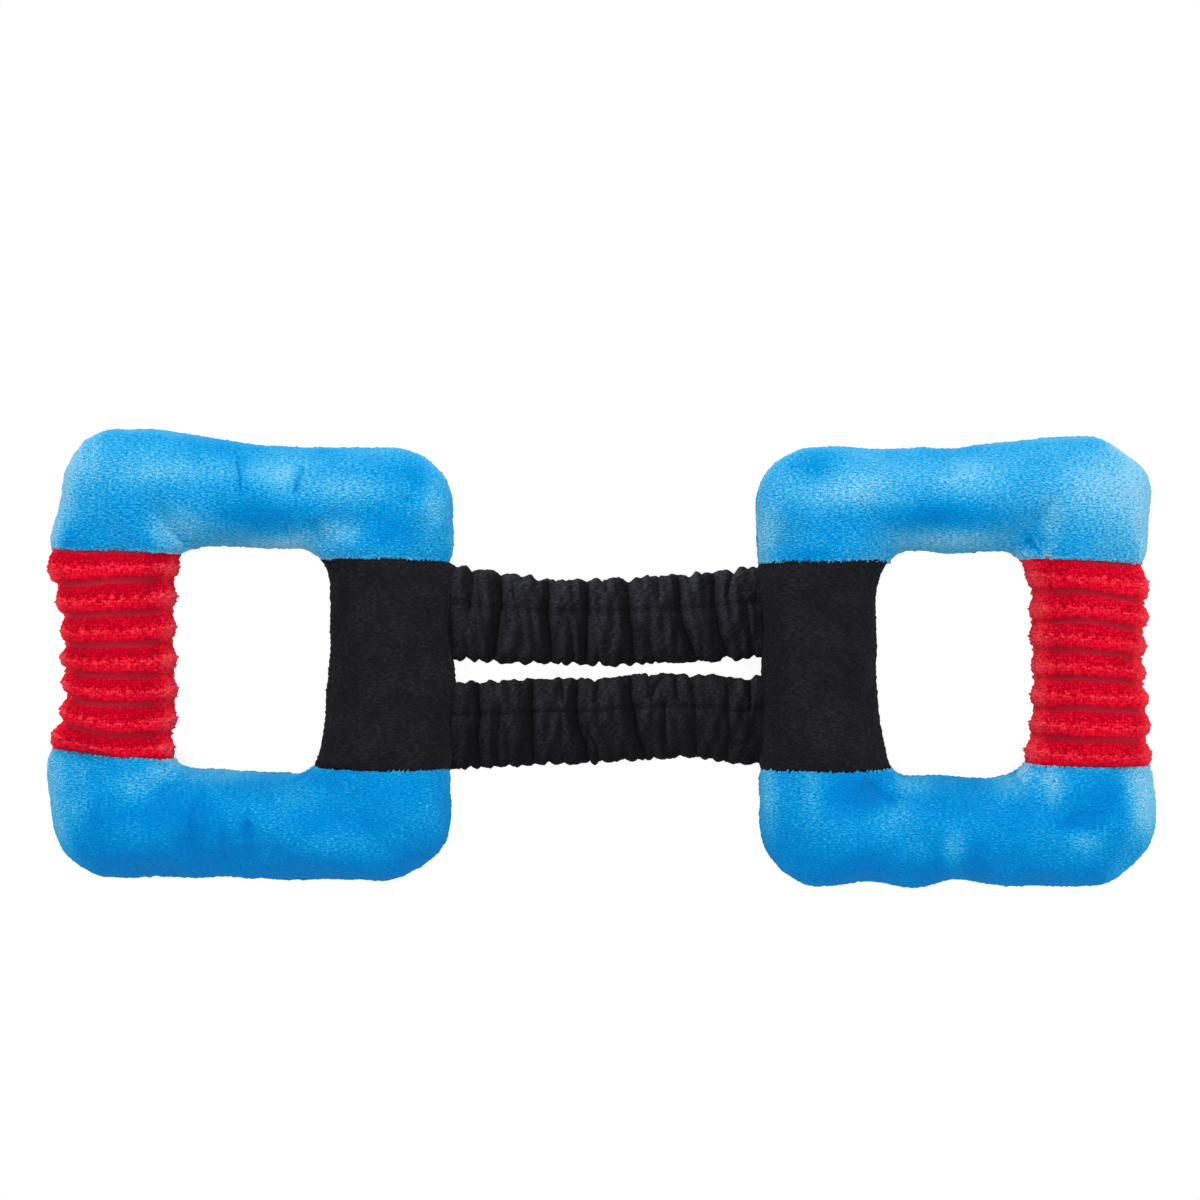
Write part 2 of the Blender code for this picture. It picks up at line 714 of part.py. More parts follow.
def centre_over_origin(toy, parts):
    """Moves the whole toy so that the middle of its outline stands over the origin."""
    depsgraph = bpy.context.evaluated_depsgraph_get()
    corners = []
    for obj in parts.objects:
        if obj.type != 'EMPTY':
            shape = obj.evaluated_get(depsgraph)
            corners += [shape.matrix_world @ Vector(corner) for corner in shape.bound_box]
    for axis in (0, 1):
        values = [corner[axis] for corner in corners]
        toy.location[axis] -= (min(values) + max(values)) / 2


def main():
    """Builds the toy."""
    remove_old_objects()
    parts = new_collection(TOY_NAME)
    cutters = new_collection("cutters")
    toy = add_empty("toy_middle", parts, (0, 0, MID_HEIGHT))
    span = HANDLE_LENGTH + STRAP_LENGTH
    below = MID_HEIGHT + CUTTER_OVERRUN
    floor_cutter = as_cutter(box_object(
        "floor_cutter", (-span, -HANDLE_LENGTH, -below), (span, HANDLE_LENGTH, -MID_HEIGHT),
        cutters, toy))

    left = add_empty("left_handle", parts, (-STRAP_LENGTH / 2, 0, 0), toy,
                     math.pi + LEFT_HANDLE_TURN)
    handle_pieces("left", -1, left, parts, cutters, floor_cutter)

    chain = strap_bodies(toy, parts)
    straps({"left": chain["fold_left"], "middle": chain["twist"], "right": chain["stretch"]},
           parts, cutters)

    hinge = chain["fold_right"]
    right = add_empty("right_handle", parts, (STRAP_LENGTH / 2 - hinge.x, -STRAP_OFFSET, 0),
                      hinge.empty, RIGHT_HANDLE_TURN)
    handle_pieces("right", 1, right, parts, cutters, floor_cutter)
    bpy.context.view_layer.update()
    centre_over_origin(toy, parts)
    bpy.context.view_layer.update()
    for body in chain.values():
        place = body.empty.matrix_world.translation
        print(f"{body.empty.name} at {place.x:.5f} {place.y:.5f} {place.z:.5f}")


main()
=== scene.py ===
"""Plush dog tug toy: two stuffed square handles joined by two gathered elastic straps.

The toy lies flat on the floor at Z = 0. Every visible layer is cloth: four stuffed tubes
sewn end to end make each handle, and each strap is a gathered sleeve over a flat elastic.
Sizes are in millimetres up to the moment a mesh is written, which is in metres.
"""

import logging
import math
from dataclasses import dataclass, field
from enum import Enum

import bpy
import numpy as np
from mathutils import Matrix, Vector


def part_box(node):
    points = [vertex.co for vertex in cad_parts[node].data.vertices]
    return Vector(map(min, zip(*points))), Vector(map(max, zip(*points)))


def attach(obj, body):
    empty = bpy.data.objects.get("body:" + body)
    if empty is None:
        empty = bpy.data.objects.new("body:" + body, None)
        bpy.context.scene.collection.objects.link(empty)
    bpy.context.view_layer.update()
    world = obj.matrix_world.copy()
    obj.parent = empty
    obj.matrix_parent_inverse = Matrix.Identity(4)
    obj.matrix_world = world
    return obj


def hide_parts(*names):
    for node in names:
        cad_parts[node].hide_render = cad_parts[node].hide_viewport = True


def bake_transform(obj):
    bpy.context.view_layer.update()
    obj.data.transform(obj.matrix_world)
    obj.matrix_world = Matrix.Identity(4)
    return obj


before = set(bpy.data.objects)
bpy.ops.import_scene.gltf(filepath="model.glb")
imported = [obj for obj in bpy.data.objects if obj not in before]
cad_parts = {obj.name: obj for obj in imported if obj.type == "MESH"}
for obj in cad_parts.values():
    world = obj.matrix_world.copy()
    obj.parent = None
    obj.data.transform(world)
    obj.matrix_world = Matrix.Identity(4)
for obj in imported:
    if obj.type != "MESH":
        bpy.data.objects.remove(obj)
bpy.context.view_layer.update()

log = logging.getLogger("tug_toy")

MM = 0.001
# In mm: the toy's middle, the line that the straps bend about, a strap from seam to seam,
# and the height over which cloth turns flat on the floor
TOY_MIDDLE = np.array([0.18, -2.79, 20.5])
STRAP_LENGTH = 124.0
FLOOR_SOFTNESS = 0.8
# In metres: X and Y of the camera, and its height over the floor
CAMERA_MIDDLE = (-0.0008, 0.0234)
CAMERA_HEIGHT = 1.6
# In Blender's own units: the air pressure that stuffs the handles, and its time in frames
STUFFING_PRESSURE = 4.0
STUFFING_FRAMES = 20

# Kinds of values: one number or many, the corners of a line, and a colour ramp's stops
Values = float | np.ndarray
Line = tuple[tuple[float, float], ...]
Stops = tuple[tuple[float, str], ...]


class Side(Enum):
    """Which end of the toy a handle is on."""

    LEFT = "left"
    RIGHT = "right"


# Helpers for shapes


def mix(start: Values, end: Values, share: Values) -> Values:
    """Returns the value at a share of the way from start to end."""
    return start + (end - start) * share


def smooth(share: np.ndarray) -> np.ndarray:
    """Returns shares from 0 to 1 with soft ends, cut off outside that range."""
    share = np.clip(share, 0, 1)
    return share * share * (3 - 2 * share)


def arc(centre: np.ndarray, radius: float, start: float, end: float) -> np.ndarray:
    """Returns points along an arc seen from above.

    Args:
        centre: Middle of the arc.
        radius: Its radius.
        start: Angle of the first point, in radians.
        end: Angle of the last point.

    Returns:
        The points, one row each.
    """
    turns = np.linspace(start, end, 40)[:, None]
    return centre + radius * np.hstack([np.cos(turns), np.sin(turns)])


def spread(path: np.ndarray, count: int) -> np.ndarray:
    """Puts points at equal distances along a path.

    Args:
        path: The path's corners, one row each.
        count: How many equal steps to make.

    Returns:
        The points, one more than the steps, both ends included.
    """
    steps = np.linalg.norm(np.diff(path, axis=0), axis=1)
    walked = np.concatenate([[0], np.cumsum(steps)])
    places = np.linspace(0, walked[-1], count + 1)
    return np.stack([np.interp(places, walked, path[:, axis]) for axis in (0, 1)], axis=1)


def resample(values: np.ndarray, factor: int, axis: int, closed: bool) -> np.ndarray:
    """Puts smooth in-between values along one axis of a grid.

    Args:
        values: The coarse grid.
        factor: How many steps replace one.
        axis: The axis to refine.
        closed: True where the axis runs round and meets itself.

    Returns:
        The finer grid.
    """
    data = np.moveaxis(values, axis, 0)
    spans = len(data) if closed else len(data) - 1
    place = np.arange(spans * factor + (0 if closed else 1)) / factor
    low = np.minimum(place.astype(int), spans - 1)
    share = (place - low).reshape(-1, *([1] * (data.ndim - 1)))

    def near(index: np.ndarray) -> np.ndarray:
        """Returns the coarse values at these places, wrapped or held at the ends."""
        return data[index % len(data)] if closed else data[np.clip(index, 0, len(data) - 1)]

    a, b, c, d = (near(low + step) for step in (-1, 0, 1, 2))
    bend = 2 * a - 5 * b + 4 * c - d + share * (3 * (b - c) + d - a)
    return np.moveaxis(b + share / 2 * (c - a + share * bend), 0, axis)


def ripples(points: np.ndarray, length: float, seed: int, waves: int = 16) -> np.ndarray:
    """Returns a smooth random field of about unit strength.

    Args:
        points: Where to read it, in millimetres, with any number of leading axes.
        length: Typical distance from one bump to the next, in millimetres.
        seed: Picks the field.
        waves: How many plane waves are added up.

    Returns:
        One value for each point.
    """
    rng = np.random.default_rng(seed)
    total = np.zeros(points.shape[:-1])
    for _ in range(waves):
        direction = rng.normal(size=points.shape[-1])
        direction *= math.tau / length * rng.uniform(0.7, 1.3) / np.linalg.norm(direction)
        total += np.cos(points @ direction + rng.uniform(0, math.tau))
    return total * math.sqrt(2 / waves)


def to_path(spots: np.ndarray, path: np.ndarray) -> tuple[np.ndarray, np.ndarray]:
    """Measures each spot against a path on the same flat plane.

    Args:
        spots: Points, with any number of leading axes.
        path: The path's corners, one row each.

    Returns:
        The distance of each spot to the path, and its share of the way along it.
    """
    best = np.full(spots.shape[:-1], np.inf)
    share = np.zeros(spots.shape[:-1])
    spans = np.linalg.norm(np.diff(path, axis=0), axis=1)
    done = 0.0
    for a, b, span in zip(path, path[1:], spans):
        along = np.clip((spots - a) @ (b - a) / span ** 2, 0, 1)
        away = np.linalg.norm(spots - (a + along[..., None] * (b - a)), axis=-1)
        closer = away < best
        best = np.where(closer, away, best)
        share = np.where(closer, (done + along * span) / spans.sum(), share)
        done += span
    return best, share


def seen(points: np.ndarray) -> np.ndarray:
    """Follows the camera's slanting view of points above or below the toy's middle.

    Args:
        points: Places in mm.

    Returns:
        X and Y at which the photograph shows each, measured at the toy's middle height.
    """
    middle, height = np.array(CAMERA_MIDDLE) / MM, CAMERA_HEIGHT / MM
    closer = (height - TOY_MIDDLE[2]) / (height - points[..., 2:])
    return middle + (points[..., :2] - middle) * closer


@dataclass(frozen=True)
class Crease:
    """A fold line pressed into cloth.

    Attributes:
        path: Corners of the line seen from above, in mm.
        depth: How deep it goes, in mm.
        width: How far the narrow line reaches to each side, in mm.
        fade: Share of its length over which each end fades out.
    """

    path: Line
    depth: float
    width: float
    fade: float = 0.35

    def press(self, spots: np.ndarray) -> np.ndarray:
        """Makes a narrow line in a soft hollow four times as wide.

        Args:
            spots: Places seen from above, in mm.

        Returns:
            How far each is pushed in, in mm.
        """
        away, share = to_path(spots, np.array(self.path))
        ends = smooth(np.minimum(share, 1 - share) / self.fade + 0.15)
        line = 0.55 * np.exp(-(away / self.width) ** 2)
        slopes = 0.45 * np.exp(-(away / (4 * self.width)) ** 2)
        return self.depth * ends * (line + slopes)


@dataclass(frozen=True)
class Nudge:
    """A place where the outline stands out or in, seen from above.

    Attributes:
        x: X of its middle, in mm.
        y: Y of its middle.
        reach: How far round the middle the cloth moves too.
        dx: How far the middle moves in X.
        dy: How far it moves in Y.
    """

    x: float
    y: float
    reach: float
    dx: float
    dy: float

    def move(self, spots: np.ndarray) -> np.ndarray:
        """Returns how far each spot moves."""
        away = np.linalg.norm(spots - (self.x, self.y), axis=-1)
        return np.exp(-(away / self.reach) ** 2)[..., None] * np.array([self.dx, self.dy])


@dataclass(frozen=True)
class Brush:
    """A patch where the pile was stroked flat, so it looks lighter, or up, so it looks deeper.

    Narrow dark ones laid along creases are painted shade in those creases.

    Attributes:
        x: X of its middle, in mm.
        y: Y of its middle.
        reach_x: How far it reaches in X.
        reach_y: How far it reaches in Y.
        tone: How much lighter it looks, or how much deeper where it is below 0.
    """

    x: float
    y: float
    reach_x: float
    reach_y: float
    tone: float

    def stroke(self, spots: np.ndarray) -> np.ndarray:
        """Returns how much lighter each spot gets."""
        away = ((spots[..., 0] - self.x) / self.reach_x) ** 2 + (
            (spots[..., 1] - self.y) / self.reach_y) ** 2
        return self.tone * np.exp(-away)


@dataclass
class Slices:
    """Slices through a stuffed tube.

    Attributes:
        inner: X and Y in mm where each slice meets the seam on the inner side.
        outer: The same on the outer side.
        loft: Half thickness of each slice, in mm.
    """

    inner: np.ndarray
    outer: np.ndarray
    loft: np.ndarray

    def surface(self, rows: int, roundness: float) -> np.ndarray:
        """Lays points round each slice, from its inner seam over the front and back again.

        Args:
            rows: How many points go round.
            roundness: Power of the sine that shapes the section; 1 gives an ellipse.

        Returns:
            The grid of points in mm, one column for each slice.
        """
        turn = math.tau * np.arange(rows) / rows
        across = ((1 - np.cos(turn)) / 2)[None, :, None]
        rise = np.sign(np.sin(turn)) * np.abs(np.sin(turn)) ** roundness
        spots = self.inner[:, None] * (1 - across) + self.outer[:, None] * across
        return np.concatenate([spots, (self.loft[:, None] * rise)[..., None]], axis=2)

    def flat_cloth(self, points: np.ndarray) -> np.ndarray:
        """Unrolls the tube onto the two panels that were cut for it.

        Args:
            points: The tube's grid of points.

        Returns:
            Where each point lay on its flat panel, in mm.
        """
        rows = points.shape[1]
        front = points[:, :rows // 2 + 1]
        walked = np.cumsum(np.linalg.norm(np.diff(front, axis=1), axis=2), axis=1)
        walked = np.concatenate([np.zeros((len(points), 1)), walked], axis=1)
        walked -= walked[:, -1:] / 2
        across = self.outer - self.inner
        across /= np.linalg.norm(across, axis=1, keepdims=True)
        middle = (self.inner + self.outer) / 2
        flat = middle[:, None] + across[:, None] * walked[..., None]
        return np.concatenate([flat, flat[:, -2:0:-1]], axis=1)


def joined(parts: list[Slices]) -> Slices:
    """Joins tubes that share their end slices into one ring."""
    return Slices(*(np.concatenate([getattr(part, name)[:-1] for part in parts])
                    for name in ("inner", "outer", "loft")))


@dataclass
class Shell:
    """A layer of cloth round a bar or strap, as a grid of points that closes round it.

    Attributes:
        name: Name of the piece.
        points: Grid of places in mm, columns along the piece and rows round it.
        flat: Where each point lay on the flat cut cloth, in mm.
        tones: Extra values for each point that the material reads, by attribute name.
    """

    name: str
    points: np.ndarray
    flat: np.ndarray
    tones: dict[str, np.ndarray] = field(default_factory=dict)

    def normals(self) -> np.ndarray:
        """Measures which way the cloth faces.

        Returns:
            The outward direction at each point.
        """
        along = np.gradient(self.points, axis=0)
        around = np.roll(self.points, -1, axis=1) - np.roll(self.points, 1, axis=1)
        normal = np.cross(around, along)
        normal /= np.maximum(np.linalg.norm(normal, axis=2, keepdims=True), 1e-9)
        outward = self.points - self.points.mean(axis=1, keepdims=True)
        return normal * np.sign((normal * outward).sum())

    def ring_normals(self) -> np.ndarray:
        """Returns the outward directions where the columns run round a ring as well."""
        ring = Shell(self.name, np.concatenate([self.points[-1:], self.points, self.points[:1]]),
                     self.flat)
        return ring.normals()[1:-1]

    def push(self, amount: np.ndarray) -> None:
        """Moves each point outwards by an amount in mm."""
        self.points = self.points + self.normals() * amount[..., None]

    def from_ends(self) -> np.ndarray:
        """Measures along the piece.

        Returns:
            Each point's distance along the cloth to the nearer end, in mm.
        """
        steps = np.linalg.norm(np.diff(self.points, axis=0), axis=2)
        walked = np.concatenate([np.zeros((1, steps.shape[1])), np.cumsum(steps, axis=0)])
        return np.minimum(walked, walked[-1] - walked)

    def from_edges(self) -> np.ndarray:
        """Measures round the piece.

        Returns:
            Each point's distance round the cloth to the nearer outline seam, in mm.
        """
        steps = np.linalg.norm(self.points - np.roll(self.points, 1, axis=1), axis=2)
        steps[:, 0] = 0
        walked = np.cumsum(steps, axis=1)
        half = walked[:, self.points.shape[1] // 2, None]
        return np.abs(np.abs(np.mod(walked + half / 2, half) - half / 2))

    def rest_on_floor(self) -> None:
        """Flattens whatever would lie below the floor, with a soft turn above it."""
        height = self.points[..., 2]
        above = height - FLOOR_SOFTNESS
        soft = FLOOR_SOFTNESS * np.exp(np.minimum(above, 0) / FLOOR_SOFTNESS)
        self.points[..., 2] = np.where(above < 0, soft, height)

    def faces(self, start: int) -> np.ndarray:
        """Joins neighbouring points of the grid by faces.

        Args:
            start: Number of the first point.

        Returns:
            The four corners of each face.
        """
        columns, rows = self.points.shape[:2]
        index = start + np.arange(columns * rows).reshape(columns, rows)
        left, right = index[:-1], index[1:]
        quads = np.stack([left, np.roll(left, -1, 1), np.roll(right, -1, 1), right], axis=-1)
        return quads.reshape(-1, 4)

    def solid(self) -> bpy.types.Object:
        """Makes the piece as a closed skin, with a cap inside the seam at each end.

        Returns:
            The object.
        """
        columns, rows = self.points.shape[:2]
        poles = self.points[[0, -1]].mean(axis=1)
        points = np.concatenate([self.points.reshape(-1, 3), poles])
        quads = self.faces(0)
        ring = np.arange(rows)
        after = np.roll(ring, -1)
        first, last = columns * rows, columns * rows + 1
        tail = (columns - 1) * rows
        caps = np.concatenate([
            np.stack([after, ring, np.full(rows, first)], axis=1),
            np.stack([tail + ring, tail + after, np.full(rows, last)], axis=1)])
        pole_flat = self.flat[[0, -1]].mean(axis=1)
        flat = np.concatenate([self.flat.reshape(-1, 2), pole_flat])
        tones = {name: np.append(tone.ravel(), [0, 0]) for name, tone in self.tones.items()}
        return cloth_object(self.name, points, [quads, caps], flat, tones)

    def tube(self, thickness: float) -> bpy.types.Object:
        """Makes the piece as a tube with open ends.

        Args:
            thickness: Thickness of its wall, in mm.

        Returns:
            The object.
        """
        inner = self.points - self.normals() * thickness
        count = self.points.shape[0] * self.points.shape[1]
        rows = self.points.shape[1]
        points = np.concatenate([self.points.reshape(-1, 3), inner.reshape(-1, 3)])
        ring = np.arange(rows)
        after = np.roll(ring, -1)
        tail = count - rows
        rims = np.concatenate([
            np.stack([after, ring, ring + count, after + count], axis=1),
            np.stack([tail + ring, tail + after, tail + after + count, tail + ring + count],
                     axis=1)])
        quads = np.concatenate([self.faces(0), self.faces(count)[:, ::-1], rims])
        flat = np.tile(self.flat.reshape(-1, 2), (2, 1))
        tones = {name: np.tile(tone.ravel(), 2) for name, tone in self.tones.items()}
        return cloth_object(self.name, points, [quads], flat, tones)

    def part(self, name: str, first: int, last: int) -> "Shell":
        """Cuts a stretch out of the piece.

        Args:
            name: Name of the new piece.
            first: Its first column.
            last: Its last column.

        Returns:
            The new piece.
        """
        keep = slice(first, last + 1)
        tones = {key: tone[keep] for key, tone in self.tones.items()}
        return Shell(name, self.points[keep], self.flat[keep], tones)


def cloth_object(name: str, points: np.ndarray, faces: list[np.ndarray], flat: np.ndarray,
                 tones: dict[str, np.ndarray]) -> bpy.types.Object:
    """Makes an object from points in mm.

    Args:
        name: Name of the piece.
        points: Its vertices, in mm.
        faces: Arrays of faces, each with the same number of corners throughout.
        flat: Place of each vertex on the flat cloth, in mm, for the UV map.
        tones: Attributes for the material, one value for each vertex.

    Returns:
        The object, at the origin, shaded smooth, with its faces pointing outwards.
    """
    mesh = bpy.data.meshes.new(name)
    corners = np.concatenate([group.ravel() for group in faces]).astype(np.int32)
    sizes = np.concatenate([np.full(len(group), group.shape[1]) for group in faces])
    starts = np.concatenate([[0], np.cumsum(sizes)[:-1]]).astype(np.int32)
    a, b, c = (points[corners[starts + step]] for step in (0, 1, 2))
    if (np.cross(b - a, c - a) * (a - points.mean(axis=0))).sum() < 0:
        turned = [group[:, ::-1] for group in faces]
        corners = np.concatenate([group.ravel() for group in turned]).astype(np.int32)
    mesh.vertices.add(len(points))
    mesh.vertices.foreach_set("co", (points * MM).astype(np.float32).ravel())
    mesh.loops.add(len(corners))
    mesh.loops.foreach_set("vertex_index", corners)
    mesh.polygons.add(len(starts))
    mesh.polygons.foreach_set("loop_start", starts)
    mesh.update(calc_edges=True)
    layer = mesh.uv_layers.new(name="flat_cloth")
    layer.data.foreach_set("uv", flat[corners].astype(np.float32).ravel())
    for key, tone in tones.items():
        attribute = mesh.attributes.new(key, 'FLOAT', 'POINT')
        attribute.data.foreach_set("value", tone.astype(np.float32))
    mesh.shade_smooth()
    mesh.validate()
    obj = bpy.data.objects.new(name, mesh)
    bpy.context.scene.collection.objects.link(obj)
    return obj


def report(obj: bpy.types.Object) -> None:
    """Tells the log that a piece is finished."""
    log.info("%s: %d faces", obj.name, len(obj.data.polygons))


# Finishes


def linear(code: str) -> tuple[float, float, float, float]:
    """Turns an sRGB hex colour into the linear one that a shader takes."""
    parts = [int(code[index:index + 2], 16) / 255 for index in (1, 3, 5)]
    return (*(p / 12.92 if p <= 0.04045 else ((p + 0.055) / 1.055) ** 2.4 for p in parts), 1.0)


def add_node(tree: bpy.types.NodeTree, kind: str, inputs: dict[str | int, object] | None = None,
             stops: Stops = (), **settings: object) -> bpy.types.Node:
    """Adds a node with its settings and links.

    Args:
        tree: The node tree.
        kind: The node's type name, less the word ShaderNode.
        inputs: What goes into each input, by its name or number: a constant, an output
            socket, or a node, which stands for its first output.
        stops: Places and sRGB hex colours of a colour ramp, in order.
        **settings: Properties of the node itself.

    Returns:
        The node.
    """
    made = tree.nodes.new(f"ShaderNode{kind}")
    for key, value in settings.items():
        setattr(made, key, value)
    for key, value in (inputs or {}).items():
        if isinstance(value, bpy.types.Node):
            value = value.outputs[0]
        if isinstance(value, bpy.types.NodeSocket):
            tree.links.new(value, made.inputs[key])
        else:
            made.inputs[key].default_value = value
    if stops:
        elements = made.color_ramp.elements
        while len(elements) < len(stops):
            elements.new(1.0)
        for element, (spot, code) in zip(elements, stops):
            element.position = spot
            element.color = linear(code)
    return made


def blank_material(name: str) -> tuple[bpy.types.Material, bpy.types.Node]:
    """Starts a node material.

    Args:
        name: Its name.

    Returns:
        The empty material, and its texture coordinates.
    """
    made = bpy.data.materials.new(name)
    made.use_nodes = True
    made.node_tree.nodes.clear()
    return made, add_node(made.node_tree, "TexCoord")


def finish_material(made: bpy.types.Material, height: bpy.types.Node, relief: float,
                    shader: dict[str, object]) -> bpy.types.Material:
    """Adds the bump, the shader and the output.

    Args:
        made: The material.
        height: Node that gives the surface's relief, from 0 to 1.
        relief: How deep that relief is, in mm.
        shader: Inputs of the Principled shader.

    Returns:
        The material.
    """
    tree = made.node_tree
    bump = add_node(tree, "Bump", {"Height": height, "Distance": relief * MM})
    surface = add_node(tree, "BsdfPrincipled", {**shader, "Normal": bump})
    add_node(tree, "OutputMaterial", {"Surface": surface})
    return made


@dataclass(frozen=True)
class Plush:
    """Short-pile polyester plush, knitted, with its pile raised by brushing.

    The pile lies over in some places, which shows its light tips, and stands up in others,
    which shows its deep colour. The knitted rows under it show through as fine dashes.
    A tone on the mesh moves it along the same colours: partly laid pile, and partly painted
    light and shade.

    Attributes:
        name: Name of the material.
        stops: Colours from the depth of the pile to its tips.
        sheen: Strength of the bright edge that the fibre tips give.
        sheen_tint: Its colour.
        level: Share of the cloth where the tips show.
        patches: Contrast of the patches where the pile lies over.
        fine: Contrast of the dashes and fibres.
        patch_size: Size of those patches, in mm.
        row_pitch: Distance between knitted rows, in mm. The real one is about 0.9.
        fibre_size: Size of the clumps that fibres make, in mm.
        turn: Angle between the fibres and the knitted rows, in degrees.
        relief: Height of the pile's grain, in mm.
    """

    name: str
    stops: Stops
    sheen: float
    sheen_tint: str
    level: float = 0.27
    patches: float = 0.65
    fine: float = 1.2
    patch_size: float = 32.0
    row_pitch: float = 0.85
    fibre_size: float = 0.55
    turn: float = 0.0
    relief: float = 0.4

    def material(self) -> bpy.types.Material:
        """Makes the material.

        Returns:
            The finished material.
        """
        made, place = blank_material(self.name)
        tree = made.node_tree
        patches = add_node(tree, "TexNoise", {
            "Vector": place.outputs["Object"], "Scale": 1 / (self.patch_size * MM),
            "Detail": 4.0, "Roughness": 0.62})
        rows = add_node(tree, "Mapping", {
            "Vector": place.outputs["UV"],
            "Scale": (0.6 / self.row_pitch, 1.5 / self.row_pitch, 1.0),
            "Rotation": (0.0, 0.0, math.radians(self.turn))})
        dashes = add_node(tree, "TexNoise", {"Vector": rows, "Scale": 1.0, "Detail": 1.0})
        fibres = add_node(tree, "TexNoise", {
            "Vector": place.outputs["Object"], "Scale": 1 / (self.fibre_size * MM),
            "Detail": 3.0, "Roughness": 0.6})
        # Dashes of the knitted rows and clumps of fibres make the grain
        dash_weight = 1.3
        grain = add_node(tree, "Math", {0: dashes, 1: dash_weight, 2: fibres},
                         operation='MULTIPLY_ADD')
        nap_and_painted_light, soft = (add_node(tree, "Attribute", attribute_name=name).outputs["Fac"]
                         for name in ("nap_and_painted_light", "soft"))
        # Tips show where the pile lies over, in random patches and by the mesh's tone, which is
        # partly laid pile and partly painted light and shade
        nap_and_light_level = add_node(tree, "Math", {0: patches, 1: self.patches, 2: nap_and_painted_light},
                        operation='MULTIPLY_ADD')
        nap_and_light_level = add_node(tree, "Math", {0: nap_and_light_level, 1: self.level - self.patches / 2},
                        operation='ADD', use_clamp=True)
        # The grain shows more there, and less at the rim that "soft" marks, where a hazy sheen
        # is painted on cloth that turns away
        contrast = add_node(tree, "Math", {0: nap_and_light_level, 1: 0.9, 2: 0.5},
                            operation='MULTIPLY_ADD')
        calm = add_node(tree, "Math", {0: soft, 1: -0.75, 2: 1.0}, operation='MULTIPLY_ADD')
        contrast = add_node(tree, "Math", {0: contrast, 1: calm}, operation='MULTIPLY')
        centred = add_node(tree, "Math", {0: grain, 1: (dash_weight + 1) / 2},
                           operation='SUBTRACT')
        speck = add_node(tree, "Math", {0: centred, 1: contrast}, operation='MULTIPLY')
        level = add_node(tree, "Math", {0: speck, 1: self.fine, 2: nap_and_light_level},
                         operation='MULTIPLY_ADD')
        colour = add_node(tree, "ValToRGB", {"Fac": level}, self.stops)
        return finish_material(made, grain, self.relief, {
            "Base Color": colour, "Roughness": 0.95, "Specular IOR Level": 0.04,
            "Sheen Weight": self.sheen, "Sheen Roughness": 0.35,
            "Sheen Tint": linear(self.sheen_tint)})


# Brushed polyester plush, bright blue: matt, with pale tips where the pile lies over, deep
# blue where it stands up, and fine dashes from the knitted rows. Painted light and shade in
# the mesh's tone move it along the same colours
BLUE_PLUSH = Plush(
    "brushed_polyester_plush_blue",
    ((0.0, "#0071ba"), (0.33, "#008ccb"), (0.72, "#48a9d2"), (1.0, "#84bcd9")),
    0.08, "#a8e0ff")
# The same in black: short and matted, so it swallows light, and only the tips on top of its
# folds look grey; on the straps, painted light and shade in the mesh's tone add to that.
# Its rows are drawn coarser than the real 0.9 mm, which wouldn't show
BLACK_PLUSH = Plush(
    "brushed_polyester_plush_black",
    ((0.0, "#0e0e11"), (0.35, "#17171b"), (0.7, "#26262c"), (1.0, "#35363e")),
    0.04, "#b0b0c0", level=0.36, patches=0.4, fine=0.6, patch_size=9.0, row_pitch=1.4,
    fibre_size=0.9, turn=55.0)


